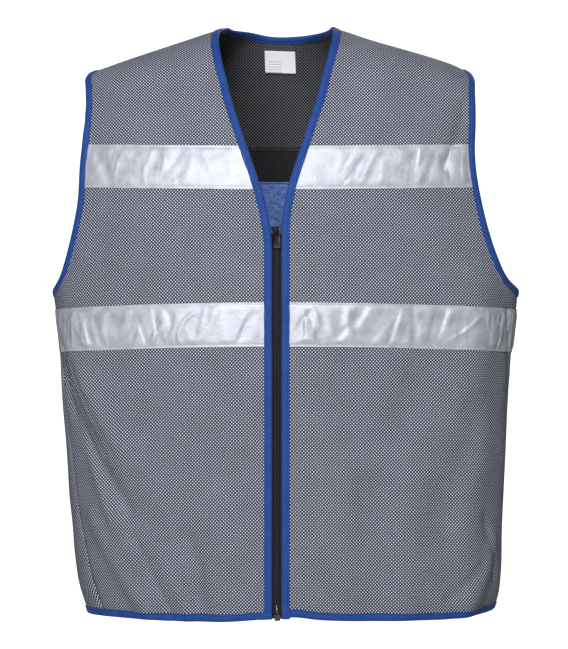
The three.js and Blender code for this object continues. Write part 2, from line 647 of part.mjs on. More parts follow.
// Zip: strips that follow the front edges, given as distances from the middle
function zipStrip(sign, from, to, low, high, top, foot) {
  const count = Math.round((top - foot) / ZIP_STEP);
  const side = sign < 0 ? "right" : "left";
  const rows = Array.from({ length: count + 1 }, (_, i) => {
    const z = lerp(foot, top, i / count);
    return [from, to].map((x) => ({ s: sign * roundAt(side, x, z), z }));
  });
  return slab(rows, low, high);
}
const zipFoot = hemHeight(0) - ZIP_BOX_OVERHANG;
const zipTop = -V_DROP - SLIDER_LENGTH * 0.35;
const zipBack = -bindingHalf - 2 * PIECE_GAP;
const teethLow = zipBack + PIECE_GAP;
const teethFoot = zipFoot + ZIP_BOX_HEIGHT + ZIP_PIN_HEIGHT + 2 * PIECE_GAP;
const zipTape = (sign) =>
  zipStrip(sign, PIECE_GAP, ZIP_TAPE_WIDTH, zipBack - ZIP_TAPE_WALL, zipBack, zipTop, hemHeight(0) + PIECE_GAP);
const zipTeeth = (sign) =>
  zipStrip(sign, PIECE_GAP / 2, TEETH_HALF_WIDTH, teethLow, teethLow + TEETH_HEIGHT, zipTop, teethFoot);

function boxed(width, depth, height, x, y, z) {
  return new THREE.BoxGeometry(width, depth, height).translate(x, y, z);
}

// Slider and pull, in a frame whose origin is on the zip's middle line, with +Y into the vest
const sliderHeight = -V_DROP - SLIDER_LENGTH / 2 + 1.5;
const sliderFrame = (() => {
  const { point, up } = frameOn({ s: 0, z: sliderHeight });
  return { position: point, tilt: Math.atan2(-up.y, up.z) };
})();
const plateBack = -(teethLow + TEETH_HEIGHT) - PIECE_GAP; // y of the front plate's back face
const plateFront = plateBack - SLIDER_PLATE;
const crownInside = PULL_BAR + 2 * PULL_CLEARANCE;
const hingeY = plateFront - PULL_CLEARANCE - PULL_BAR / 2;
const hingeZ = SLIDER_LENGTH / 2 - 4.2;

function slider() {
  const half = SLIDER_LENGTH / 2;
  const plan = new THREE.Shape([
    new THREE.Vector2(-SLIDER_FOOT_WIDTH / 2, -half),
    new THREE.Vector2(SLIDER_FOOT_WIDTH / 2, -half),
    new THREE.Vector2(SLIDER_FOOT_WIDTH / 2, half * 0.2),
    new THREE.Vector2(zipEdge - PIECE_GAP, half * 0.55),
    new THREE.Vector2(zipEdge - PIECE_GAP, half),
    new THREE.Vector2(zipEdge - PIECE_GAP - SLIDER_TOP_WIDTH, half),
    new THREE.Vector2(zipEdge - PIECE_GAP - SLIDER_TOP_WIDTH, half * 0.75),
    new THREE.Vector2(-SLIDER_FOOT_WIDTH / 2, half * 0.2),
  ]);
  const plate = (thickness, y) =>
    solidOf(
      new THREE.ExtrudeGeometry(plan, { depth: thickness, bevelEnabled: false })
        .rotateX(Math.PI / 2)
        .translate(0, y, 0),
    );
  const rearFront = -zipBack + ZIP_TAPE_WALL + PIECE_GAP;
  const postTop = half;
  const postFoot = zipTop - sliderHeight + PIECE_GAP;
  const postDepth = rearFront - plateBack + SLIDER_PLATE;
  const post = solidOf(
    boxed(CROWN_WIDTH, postDepth, postTop - postFoot, 0, (rearFront + plateBack) / 2, (postTop + postFoot) / 2),
  );
  const crownTop = plateFront - crownInside - CROWN_WALL;
  const crownDepth = plateFront - crownTop + SLIDER_PLATE / 2;
  const crown = solidOf(
    boxed(CROWN_WIDTH, crownDepth, CROWN_LENGTH, 0, crownTop + crownDepth / 2, hingeZ - CROWN_LENGTH / 2 + 2.6),
  );
  const eye = solidOf(
    boxed(CROWN_WIDTH * 2, crownInside, CROWN_LENGTH - 2 * CROWN_WALL, 0, plateFront - crownInside / 2,
      hingeZ - CROWN_LENGTH / 2 + 2.6),
  );
  return plate(SLIDER_PLATE, plateBack)
    .add(plate(SLIDER_PLATE, rearFront + SLIDER_PLATE))
    .add(post)
    .add(crown.subtract(eye));
}

function pull() {
  const gap = CROWN_WIDTH / 2 + PULL_CLEARANCE;
  const armOut = gap + PULL_ARM;
  const bar = solidOf(boxed(2 * armOut, PULL_BAR, PULL_BAR, 0, 0, 0));
  const arm = (sign) =>
    solidOf(boxed(PULL_ARM, PULL_BAR, PULL_EYE_LENGTH + PULL_BAR / 2, sign * (gap + PULL_ARM / 2), 0,
      -PULL_EYE_LENGTH / 2 + PULL_BAR / 4));
  const outline = new THREE.Shape();
  const [top, foot, half] = [-PULL_EYE_LENGTH + 0.5, -PULL_LENGTH, PULL_WIDTH / 2];
  outline.moveTo(-armOut, top);
  outline.lineTo(-half, top - 2.5);
  outline.lineTo(-half, foot + 1.5);
  outline.absarc(-half + 1.5, foot + 1.5, 1.5, Math.PI, 1.5 * Math.PI);
  outline.absarc(half - 1.5, foot + 1.5, 1.5, 1.5 * Math.PI, 2 * Math.PI);
  outline.lineTo(half, top - 2.5);
  outline.lineTo(armOut, top);
  const tab = solidOf(
    new THREE.ExtrudeGeometry(outline, { depth: PULL_WALL, bevelEnabled: false, curveSegments: 4 })
      .rotateX(Math.PI / 2)
      .translate(0, PULL_WALL / 2, 0),
  );
  return bar.add(arm(1)).add(arm(-1)).add(tab);
}

// Box and pin at the zip's foot, in a frame on the zip's middle line
const footFrame = frameOn({ s: 0, z: zipFoot + ZIP_BOX_HEIGHT / 2 });
const footBack = -zipBack - 2 * PIECE_GAP; // y of the box's and the pin's back faces
function zipBox() {
  const round = 1.5;
  const [half, low, high] = [ZIP_BOX_WIDTH / 2, -ZIP_BOX_HEIGHT / 2, ZIP_BOX_HEIGHT / 2];
  const outline = new THREE.Shape();
  outline.moveTo(-half, high);
  outline.lineTo(-half, low + round);
  outline.absarc(-half + round, low + round, round, Math.PI, 1.5 * Math.PI);
  outline.absarc(half - round, low + round, round, 1.5 * Math.PI, 2 * Math.PI);
  outline.lineTo(half, high);
  return new THREE.ExtrudeGeometry(outline, { depth: ZIP_BOX_DEPTH, bevelEnabled: false, curveSegments: 4 })
    .rotateX(Math.PI / 2)
    .translate(0, footBack, 0);
}
const zipPin = () => {
  const depth = TEETH_HEIGHT;
  const z = ZIP_BOX_HEIGHT / 2 + PIECE_GAP + ZIP_PIN_HEIGHT / 2;
  return boxed(ZIP_PIN_WIDTH, depth, ZIP_PIN_HEIGHT, 0, footBack - depth / 2, z);
};

// Label sewn under the back neck binding, on the inner face. from and to are distances below the neck line.
function labelPiece(from, to) {
  const face = -clothHalf - LABEL_CLEARANCE - LABEL_WALL;
  const columns = [-0.5, -0.25, 0, 0.25, 0.5].map((share) => share * LABEL_WIDTH + LABEL_OFF_CENTRE);
  const neck = -BACK_NECK_DROP;
  const rows = [to, (from + to) / 2, from].map((drop) =>
    columns.map((x) => {
      const z = neck - drop;
      const side = x < 0 ? "right" : "left";
      const angle = Math.asin(Math.abs(x) / valueAt(sections, side, z));
      return { s: 2 - Math.sign(x) * (angle / (Math.PI / 2)), z };
    }),
  );
  return slab(rows.map((row) => row.reverse()), face, 0).subtract(cutter);
}
const labelTop = BINDING_WIDTH + 2 * PIECE_GAP;
const labelFold = labelTop + LABEL_STRIP_LENGTH;

const finish = (color, roughness, metalness = 0) => new THREE.MeshStandardMaterial({ color, roughness, metalness });
const meshCloth = finish(0x6f737c, 0.9);
const blueBinding = finish(0x2f4f93, 0.75);
const silverTape = finish(0xc6c9d1, 0.35);
const blueLining = finish(0x4b6395, 0.95);
const blackTape = finish(0x1c1c20, 0.85);
const blackNylon = finish(0x2a2a2e, 0.5);
const blackMetal = finish(0x151517, 0.35, 0.6);
const greyPlastic = finish(0x4a4a4c, 0.5);
const whiteLabel = finish(0xe4e4ea, 0.7);
const blackLabel = finish(0x39393d, 0.8);

const vest = new THREE.Group();
const add = (name, shape, material, parent = vest) => {
  const mesh = new THREE.Mesh(shape.isBufferGeometry ? shape : geometryOf(shape), material);
  mesh.name = name;
  parent.add(mesh);
  return mesh;
};

for (const [name, columns] of Object.entries(panelColumns)) {
  add(`${name}_panel`, clothPanel(columns, 0), meshCloth);
  add(`${name}_upper_tape`, tapeOn(upperTapeHeights, columns), silverTape);
  add(`${name}_lower_tape`, tapeOn(lowerTapeHeights, columns), silverTape);
}
add("back_lining", laid(liningRows, LINING_WALL, false), blueLining);
add("neck_and_front_binding", binding(aboveHem, false), blueBinding);
add("left_armhole_binding", binding(armLines.left, true), blueBinding);
add("right_armhole_binding", binding(armLines.right, true), blueBinding);
add("hem_binding", binding(hemLine(), false), blueBinding);
for (const [name, sign] of [["left", 1], ["right", -1]]) {
  add(`${name}_zip_tape`, zipTape(sign), blackTape);
  add(`${name}_zip_teeth`, zipTeeth(sign), blackNylon);
}

const sliderGroup = new THREE.Group();
sliderGroup.position.copy(sliderFrame.position);
sliderGroup.rotation.x = sliderFrame.tilt;
vest.add(sliderGroup);
add("zip_slider", slider(), blackMetal, sliderGroup);
add("zip_pull", pull(), blackMetal, sliderGroup).position.set(0, hingeY, hingeZ);

const footGroup = new THREE.Group();
footGroup.position.copy(footFrame.point);
footGroup.rotation.x = Math.atan2(-footFrame.up.y, footFrame.up.z);
vest.add(footGroup);
add("zip_box", zipBox(), greyPlastic, footGroup);
add("zip_pin", zipPin(), greyPlastic, footGroup);

add("label_strip", labelPiece(labelTop, labelFold), blackLabel);
add("label", labelPiece(labelFold + PIECE_GAP, labelFold + LABEL_LENGTH), whiteLabel);

export default vest;
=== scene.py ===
import math

import bpy
import numpy as np
from mathutils import Matrix, Vector
from mathutils.kdtree import KDTree


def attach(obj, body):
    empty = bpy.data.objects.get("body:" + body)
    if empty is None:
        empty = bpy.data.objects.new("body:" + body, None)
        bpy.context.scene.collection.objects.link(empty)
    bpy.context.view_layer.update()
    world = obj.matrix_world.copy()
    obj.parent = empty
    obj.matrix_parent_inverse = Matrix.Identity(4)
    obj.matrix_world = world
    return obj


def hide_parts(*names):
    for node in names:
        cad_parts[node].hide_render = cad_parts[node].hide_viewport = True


# A cooling vest in its worn form. Lengths are millimetres here and become metres when a mesh is made.
# +Z is up, the front faces -Y, and right and left are the wearer's: right is -X.
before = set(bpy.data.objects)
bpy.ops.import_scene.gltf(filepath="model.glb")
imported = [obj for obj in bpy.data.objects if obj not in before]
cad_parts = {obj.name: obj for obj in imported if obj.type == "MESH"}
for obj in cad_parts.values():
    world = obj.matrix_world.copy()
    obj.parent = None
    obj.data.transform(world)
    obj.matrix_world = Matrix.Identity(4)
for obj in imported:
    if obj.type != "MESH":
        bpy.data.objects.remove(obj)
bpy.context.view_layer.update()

# the worn shape, with the same values as the CAD model's source
vest = {
    "bodyLength": 683, "chestHalfWidth": 271, "frontDepth": 119, "backDepth": 109,
    "neckHalfWidth": 60.5, "backNeckDrop": 3, "shoulderHalfWidth": 223.5, "shoulderDrop": 54,
    "underarmDrop": 305, "vDrop": 240, "hemRiseAtZip": 4, "hemRiseReach": 70,
    "hemRiseRight": 1.5, "hemRiseLeft": 6, "hemKink": 2.2, "hemKinkAt": 21, "hemKinkReach": 18,
    "rightSeamSwing": 26, "leftSeamSwing": -7, "zipOpening": 10.3, "backArmEase": 0.03,
    "backNeckRise": 2.8, "backNeckRiseAt": 0.31, "backNeckRiseReach": 0.13,
}
# share of the shoulder drop, right and left half width (0 neck, 1 shoulder), front and back depth share
yokeRows = [
    (-0.24, -0.23, -0.2, 0.27, 0.47), (0, -0.035, 0.009, 0.36, 0.57), (0.13, 0.11, 0.14, 0.43, 0.615),
    (0.3, 0.282, 0.308, 0.49, 0.655), (0.56, 0.545, 0.61, 0.56, 0.71), (0.82, 0.8, 0.885, 0.62, 0.755),
    (1, 0.96, 1.005, 0.66, 0.785),
]
# share of the way from shoulder tip to underarm, right and left half width, front and back depth, all shares
armZoneRows = [
    (0.084, 0.9, 0.925, 0.72, 0.835), (0.183, 0.952, 0.98, 0.79, 0.89), (0.382, 0.986, 1.015, 0.88, 0.963),
    (0.661, 0.984, 1.037, 0.958, 1), (1, 0.96, 1.035, 1, 0.99),
]
# the same from underarm to hem
skirtRows = [
    (0.188, 0.931, 1.006, 1, 0.965), (0.33, 0.922, 0.991, 0.995, 0.94), (0.468, 0.906, 0.982, 0.975, 0.915),
    (0.606, 0.892, 0.973, 0.955, 0.895), (0.743, 0.876, 0.964, 0.94, 0.885), (0.884, 0.852, 0.957, 0.92, 0.875),
    (0.96, 0.825, 0.94, 0.895, 0.855), (1, 0.805, 0.912, 0.875, 0.835),
]
# front edges: share of the V's depth, right and left distance from the middle (0 zip opening, 1 neck)
neckRows = [
    (0, 0.983, 1.017), (0.03, 1.07, 1.055), (0.081, 1.1, 1.027), (0.188, 1.03, 0.916), (0.288, 0.927, 0.812),
    (0.388, 0.82, 0.705), (0.483, 0.69, 0.565), (0.579, 0.554, 0.441), (0.675, 0.411, 0.3),
    (0.77, 0.27, 0.165), (0.863, 0.15, 0.07), (0.958, 0.064, 0.01), (1.05, 0.006, 0), (1.24, 0, 0), (3.2, 0, 0),
]
# front half of the armholes: share of the way up, right and left place round the body (0 zip, 1 side seam)
armRows = [
    (0, 1, 1), (0.018, 0.88, 0.86), (0.06, 0.805, 0.765), (0.131, 0.75, 0.707), (0.267, 0.686, 0.656),
    (0.404, 0.649, 0.626), (0.542, 0.638, 0.613), (0.681, 0.634, 0.625), (0.821, 0.65, 0.66),
    (0.9, 0.7, 0.71), (0.965, 0.82, 0.83), (1, 1, 1),
]
# soft folds: from (place round, share up from the hem) to the same, width and height in mm
folds = [
    (-0.93, 0.74, -0.62, 0.34, 14, -6.5), (-0.8, 0.78, -0.48, 0.38, 22, 4), (-0.86, 0.3, -0.66, 0.05, 17, 4.5),
    (-0.36, 0.24, -0.33, 0.04, 16, -4.5), (-0.2, 0.34, -0.27, 0.04, 24, 3.5), (0.24, 0.4, 0.27, 0.04, 17, -5.5),
    (0.37, 0.42, 0.35, 0.06, 27, 4), (0.6, 0.6, 0.5, 0.3, 22, -5.5), (0.74, 0.22, 0.6, 0.03, 16, 4.5),
    (0.42, 0.77, 0.34, 0.62, 19, -4), (-1.72, 0.5, -1.66, 0.05, 24, -4), (1.6, 0.55, 1.68, 0.05, 24, -4),
    (1.9, 0.6, 1.94, 0.08, 32, 3),
    # the turn from front to side is a little squarer than the CAD model's, and it has finer creases
    (0.6, 0.98, 0.57, 0.06, 35, 7.5), (-0.74, 0.86, -0.66, 0.24, 36, 5), (0.72, 1.3, 0.74, 1.12, 26, 2.5),
    (-0.9, 0.82, -0.68, 0.5, 6, -3.6), (-0.79, 0.76, -0.64, 0.5, 5, -2.2), (-0.87, 0.72, -0.72, 0.3, 8, 2.4),
    (-0.6, 0.24, -0.5, 0.02, 7, -2.6), (-0.5, 0.2, -0.42, 0.02, 8, 2), (-0.31, 0.16, -0.38, 0.01, 7, -1.8),
    (0.5, 0.06, 0.66, 0.16, 7, -2.2), (0.42, 0.16, 0.5, 0.02, 7, 1.8), (0.68, 0.3, 0.78, 0.12, 8, -2.2),
    (0.8, 0.92, 0.92, 0.7, 8, -2.4), (0.6, 1.54, 0.48, 1.36, 7, -2.6), (-0.62, 1.5, -0.5, 1.32, 8, -1.6),
    (1.3, 0.75, 1.42, 0.45, 9, -1.8), (-1.25, 0.8, -1.38, 0.5, 9, -1.6), (2, 1.5, 1.92, 1.2, 20, -1.5),
]
skirtLength = vest["bodyLength"] - vest["underarmDrop"]
zipEdge = vest["zipOpening"] / 2
chest = vest["chestHalfWidth"]
foldSpan = chest * 1.2  # mm from the zip to a side seam on the flat map that the folds are placed on


def lerp(a, b, t):
    return a + (b - a) * t


def smoothStep(low, high, x):
    t = np.clip((x - low) / (high - low), 0, 1)
    return t * t * (3 - 2 * t)


def sectionTable():
    neck, shoulder = vest["neckHalfWidth"], vest["shoulderHalfWidth"]
    rows = [(-d * vest["shoulderDrop"], lerp(neck, shoulder, r), lerp(neck, shoulder, l), f, b)
            for d, r, l, f, b in yokeRows]
    armLength = vest["underarmDrop"] - vest["shoulderDrop"]
    rows += [(-vest["shoulderDrop"] - d * armLength, r * chest, l * chest, f, b) for d, r, l, f, b in armZoneRows]
    rows += [(-vest["underarmDrop"] - d * skirtLength, r * chest, l * chest, f, b) for d, r, l, f, b in skirtRows]
    t = np.array(rows, float).T
    return {"z": t[0], "right": t[1], "left": t[2], "front": t[3] * vest["frontDepth"],
            "back": t[4] * vest["backDepth"]}


def valueAt(table, column, z):
    # smooth value of a column whose rows run downwards in z
    zs, vs = table["z"], table[column]
    slopes = np.diff(vs) / np.diff(zs)
    ends = np.concatenate([slopes[:1], (slopes[1:] + slopes[:-1]) / 2, slopes[-1:]])
    z = np.asarray(z, float)
    i = np.clip(np.searchsorted(-zs, -z, side="left") - 1, 0, len(zs) - 2)
    span = zs[i + 1] - zs[i]
    t = (z - zs[i]) / span
    u = 1 - t
    inner = ((1 + 2 * t) * u * u * vs[i] + t * u * u * span * ends[i]
             + t * t * (3 - 2 * t) * vs[i + 1] - t * t * u * span * ends[i + 1])
    return np.where(t < 0, vs[i] + ends[i] * (z - zs[i]),
                    np.where(t > 1, vs[i + 1] + ends[i + 1] * (z - zs[i + 1]), inner))


sections = sectionTable()
neckArray = np.array(neckRows, float).T
neckTable = {"z": -neckArray[0] * vest["vDrop"], "right": lerp(zipEdge, vest["neckHalfWidth"], neckArray[1]),
             "left": lerp(zipEdge, vest["neckHalfWidth"], neckArray[2])}


def turnOf(s):
    turn = np.mod(np.asarray(s, float) + 2, 4) - 2
    return turn < 0, np.abs(turn)


def seamAngle(isRight, z):
    swing = np.where(isRight, vest["rightSeamSwing"], vest["leftSeamSwing"])
    return math.pi / 2 - np.radians(swing) * np.clip((-z - vest["underarmDrop"]) / skirtLength, 0, 1)


def foldHeight(s, z):
    isRight, around = turnOf(s)
    x = np.where(isRight, -around, around) * foldSpan
    height = np.zeros(np.shape(x))
    for fromRound, fromUp, toRound, toUp, width, rise in folds:
        ax, az = fromRound * foldSpan, fromUp * skirtLength - vest["bodyLength"]
        bx, bz = toRound * foldSpan, toUp * skirtLength - vest["bodyLength"]
        dx = np.mod(x - ax + 2 * foldSpan, 4 * foldSpan) - 2 * foldSpan
        dz = z - az
        run = (bx - ax) ** 2 + (bz - az) ** 2
        along = np.clip((dx * (bx - ax) + dz * (bz - az)) / run, 0, 1)
        off = np.hypot(dx - along * (bx - ax), dz - along * (bz - az)) / width
        height += rise * np.exp(-off * off)
    return height


def surface(s, z):
    # a place on the cloth: s is 0 at the zip, 1 at the left side seam, 2 at the centre back, 3 or -1 at the right one
    s, z = np.broadcast_arrays(np.asarray(s, float), np.asarray(z, float))
    isRight, around = turnOf(s)
    seam = seamAngle(isRight, z)
    angle = np.where(around <= 1, around * seam, seam + (math.pi - seam) * (around - 1))
    width = np.where(isRight, valueAt(sections, "right", z), valueAt(sections, "left", z))
    depth = np.where(np.cos(angle) > 0, valueAt(sections, "front", z), valueAt(sections, "back", z))
    sine, cosine = np.where(isRight, -1, 1) * np.sin(angle), np.cos(angle)
    outX, outY = sine / width, -cosine / depth
    rise = foldHeight(s, z) / np.hypot(outX, outY)
    return np.stack([width * sine + outX * rise, -depth * cosine + outY * rise, z], -1)


def unit(v):
    return v / np.maximum(np.linalg.norm(v, axis=-1, keepdims=True), 1e-9)


def frameOn(s, z):
    ds, dz = 0.002, 0.4
    around = (surface(s + ds, z) - surface(s - ds, z)) / (2 * ds)
    up = (surface(s, z + dz) - surface(s, z - dz)) / (2 * dz)
    return surface(s, z), around, up, unit(np.cross(around, up))


def goLeft(s, z, direction, distance):
    # a real distance over the cloth, to the left of a direction as seen from outside
    for _ in range(4):
        _, around, up, normal = frameOn(s, z)
        left = unit(np.cross(normal, direction)) * (np.asarray(distance, float) / 4)[..., None]
        rr, ru, uu = (around * around).sum(-1), (around * up).sum(-1), (up * up).sum(-1)
        r, u = (left * around).sum(-1), (left * up).sum(-1)
        s = s + (r * uu - u * ru) / (rr * uu - ru * ru)
        z = z + (u * rr - r * ru) / (rr * uu - ru * ru)
    return s, z


def walk(points, axis=0):
    # distances walked along lines of points, from 0
    return np.insert(np.cumsum(np.linalg.norm(np.diff(points, axis=axis), axis=-1), axis), 0, 0, axis)


def directionsOf(points, closed):
    if closed:
        return unit(np.roll(points, -1, 0) - np.roll(points, 1, 0))
    return unit(np.concatenate([points[1:2] - points[:1], points[2:] - points[:-2], points[-1:] - points[-2:-1]]))


def evenly(s, z, step, closed=False):
    if closed:
        s, z = np.append(s, s[0]), np.append(z, z[0])
    walked = walk(surface(s, z))
    at = np.linspace(0, walked[-1], int(round(walked[-1] / step)) + 1)
    if closed:
        at = at[:-1]
    return np.interp(at, walked, s), np.interp(at, walked, z)


def hemHeight(s):
    isRight, around = turnOf(s)
    fromZip = around * (math.pi / 2) * chest
    off = fromZip / vest["hemRiseReach"]
    towardSide = smoothStep(0.45, 0.95, 1 - np.abs(1 - around))
    atSide = np.where(isRight, vest["hemRiseRight"], vest["hemRiseLeft"]) * towardSide
    kink = (fromZip - vest["hemKinkAt"]) / vest["hemKinkReach"]
    kinked = np.where(isRight, 0, vest["hemKink"]) * np.exp(-kink * kink)
    return -vest["bodyLength"] + vest["hemRiseAtZip"] * np.exp(-off * off) + atSide + kinked


def roundAt(isRight, x, z):
    width = valueAt(sections, "right" if isRight else "left", z)
    return np.arcsin(np.minimum(1, x / width)) / seamAngle(isRight, z)


def edgeRound(isRight, z):
    return roundAt(isRight, valueAt(neckTable, "right" if isRight else "left", z), z)


def placeFor(x, z, onBack):
    # place round the body from x and z
    s = np.zeros(np.shape(x))
    for isRight in (False, True):
        width = valueAt(sections, "right" if isRight else "left", z)
        seam = seamAngle(isRight, z)
        angle = np.arcsin(np.clip(np.abs(x) / width, 0, 1))
        around = 1 + (math.pi - angle - seam) / (math.pi - seam) if onBack else angle / seam
        signed = (4 - around if onBack else -around) if isRight else around
        s = np.where((x < 0) == isRight, signed, s)
    return s


def softened(values, rounds, closed=False):
    values = np.array(values, float)
    for _ in range(rounds):
        if closed:
            values = (np.roll(values, 1) + 2 * values + np.roll(values, -1)) / 4
        else:
            values[1:-1] = (values[:-2] + 2 * values[1:-1] + values[2:]) / 4
    return values


def backNeckHeight(s):
    # s from 1 at the left shoulder to 3 at the right one; the right half rides up a little
    share = (3 - s) / 2
    off = (share - vest["backNeckRiseAt"]) / vest["backNeckRiseReach"]
    return -vest["backNeckDrop"] * np.sin(share * math.pi) ** 2 + vest["backNeckRise"] * np.exp(-off * off)


def neckLine(step):
    z = -vest["bodyLength"] * (1 - np.arange(400) / 400) ** 2
    backS = -1 - np.arange(0, 121) / 60
    backZ = backNeckHeight(backS + 4)
    s = np.concatenate([-edgeRound(True, z), backS, (edgeRound(False, z) - 4)[::-1]])
    s, z = evenly(s, np.concatenate([z, backZ, z[::-1]]), step)
    return softened(s, 12), softened(z, 12)


def armLine(isRight, step):
    rows = np.array(armRows, float)
    column = 1 if isRight else 2
    up = -vest["underarmDrop"] + rows[:, 0] * (vest["underarmDrop"] - vest["shoulderDrop"])
    s = np.concatenate([rows[:, column], 2 - rows[-2:0:-1, column] - vest["backArmEase"]])
    z = np.concatenate([up, up[-2:0:-1]])
    # centripetal curve through the places, each stretch worked out from four of them
    p = np.stack([s * chest, z], 1)
    out = []
    for i in range(len(p)):
        rows = [p[(i + k) % len(p)] for k in (-1, 0, 1, 2)]
        knots = np.cumsum([0] + [max(np.linalg.norm(b - a), 1e-6) ** 0.5 for a, b in zip(rows, rows[1:])])
        t = np.linspace(knots[1], knots[2], 12, endpoint=False)[:, None]
        for reach in (1, 2):
            rows = [lerp(rows[k], rows[k + 1], (t - knots[k]) / (knots[k + reach] - knots[k]))
                    for k in range(len(rows) - 1)]
        out.append(lerp(rows[0], rows[1], (t - knots[1]) / (knots[2] - knots[1])))
    out = np.concatenate(out)
    s, z = out[:, 0] / chest, out[:, 1]
    if isRight:
        s, z = -s[::-1], z[::-1]
    s, z = evenly(s, z, step, True)
    return softened(s, 3, True), softened(z, 3, True)


def hemLine(step):
    low = -vest["bodyLength"]
    s = np.linspace(roundAt(False, zipEdge, low), 4 - roundAt(True, zipEdge, low), 500)
    return evenly(s, hemHeight(s), step)


def latticeNoise(x, y, seed):
    # smooth noise from 0 to 1
    grid = np.random.default_rng(seed).random((64, 64))
    x, y = np.asarray(x, float), np.asarray(y, float)
    ix, iy = np.floor(x).astype(int), np.floor(y).astype(int)
    fx, fy = smoothStep(0, 1, x - ix), smoothStep(0, 1, y - iy)
    low, high = [lerp(grid[np.mod(ix, 64), np.mod(iy + k, 64)], grid[np.mod(ix + 1, 64), np.mod(iy + k, 64)], fx)
                 for k in (0, 1)]
    return lerp(low, high, fy)


def makePiece(name, points, faces, uv, materials, recordSlot, slots=None, hard=False, replaces=None, body="vest"):
    mesh = bpy.data.meshes.new(name)
    mesh.from_pydata((np.asarray(points) * 0.001).tolist(), [], [list(map(int, f)) for f in faces])
    for material in materials:
        mesh.materials.append(material)
    layer = mesh.uv_layers.new(name="clothMap")
    loops = np.zeros(len(mesh.loops), np.int32)
    mesh.loops.foreach_get("vertex_index", loops)
    layer.data.foreach_set("uv", (np.asarray(uv) * 0.001)[loops].astype(np.float32).ravel())
    if slots is not None:
        mesh.polygons.foreach_set("material_index", np.asarray(slots, np.int32))
    mesh.polygons.foreach_set("use_smooth", [True] * len(mesh.polygons))
    if hard:
        # cast and moulded parts keep crisp edges: only turns under 20 degrees are shaded as round
        mesh.set_sharp_from_angle(angle=math.radians(20))
    mesh.update()
    piece = bpy.data.objects.new(name, mesh)
    bpy.context.scene.collection.objects.link(piece)
    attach(piece, body)
    if replaces:
        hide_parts(replaces)
    return piece


def thicken(piece, wall, offset=0):
    # gives a sheet its thickness in mm: half to each side, or all of it inwards with offset -1
    solid = piece.modifiers.new("thickness", "SOLIDIFY")
    solid.thickness = wall * 0.001
    solid.offset = offset
    return solid


def gridFaces(rows, columns, keep=None):
    r, c = np.meshgrid(np.arange(rows - 1), np.arange(columns - 1), indexing="ij")
    a = (r * columns + c).ravel()
    quads = np.stack([a, a + 1, a + 1 + columns, a + columns], 1)
    return quads if keep is None else quads[keep[quads].all(1)]


def gridSheet(name, points, u, v, material, recordSlot, replaces, wall, offset=0):
    # a sheet from a grid of points, mapped by u and v in mm
    piece = makePiece(name, points.reshape(-1, 3), gridFaces(*u.shape), np.stack([u.ravel(), v.ravel()], 1),
                      [material], recordSlot, replaces=replaces)
    thicken(piece, wall, offset)
    return piece


def compact(points, faces, uv):
    used = np.unique(faces)
    back = np.full(len(points), -1)
    back[used] = np.arange(len(used))
    return points[used], back[faces], uv[used], used


def linear(hexColour):
    # an sRGB hex value as linear colour
    value = [int(hexColour[i:i + 2], 16) / 255 for i in (1, 3, 5)]
    return (*[c / 12.92 if c <= 0.04045 else ((c + 0.055) / 1.055) ** 2.4 for c in value], 1)


def feed(tree, target, inputs):
    # fills a node's inputs from numbers and colours, from sockets, or from the first output of other nodes
    for name, source in inputs.items():
        if isinstance(source, (int, float, tuple)):
            target.inputs[name].default_value = source
        else:
            tree.links.new(getattr(source, "outputs", [source])[0], target.inputs[name])


def node(tree, kind, inputs=None, **settings):
    # adds a node with its settings, and feeds its inputs
    made = tree.nodes.new("ShaderNode" + kind)
    for key, value in settings.items():
        setattr(made, key, value)
    feed(tree, made, inputs or {})
    return made


def newMaterial(name):
    material = bpy.data.materials.new(name)
    material.use_nodes = True
    return material, material.node_tree


def ribbed(tree, uv, pitches):
    # the product of two sine ribs, across and along the cloth, at pitches in metres
    part = node(tree, "SeparateXYZ", {0: uv}).outputs
    ribs = []
    for socket, pitch in enumerate(pitches):
        turn = node(tree, "Math", {0: part[socket], 1: 2 * math.pi / pitch}, operation="MULTIPLY")
        ribs.append(node(tree, "Math", {0: turn}, operation="SINE"))
    return node(tree, "Math", {0: ribs[0], 1: ribs[1]}, operation="MULTIPLY")


def finished(material, factor, colours, shade, height, bump, more):
    # blends two colours by a factor, shades the blend, and adds relief and the shader's other inputs
    tree = material.node_tree
    dark, light = [linear(colour) for colour in colours]
    colour = node(tree, "Mix", {"Factor": factor, 6: dark, 7: light}, data_type="RGBA").outputs[2]
    if shade is not None:
        colour = node(tree, "HueSaturation", {"Color": colour, "Value": shade})
    relief = node(tree, "Bump", {"Height": height, "Strength": bump[0], "Distance": bump[1]})
    feed(tree, tree.nodes["Principled BSDF"], {"Base Color": colour, "Normal": relief, **more})
    return material


meshCloth = {
    "across": 3.75, "down": 3.9,  # mm between dots in a row, and between rows of one phase
    "wander": 0.00035, "dotFrom": 0.35, "dotTo": 1.35,
    # lattice and dot colours: outside; inside, darker as painted shade; and inside behind the upper tape, darker still
    # as painted shade where the tape blocks light through the mesh
    "Face": ("#363945", "#d9def0"), "Reverse": ("#121315", "#7c7d84"), "ReverseUnderTapeShadow": ("#050506", "#35363c"),
}


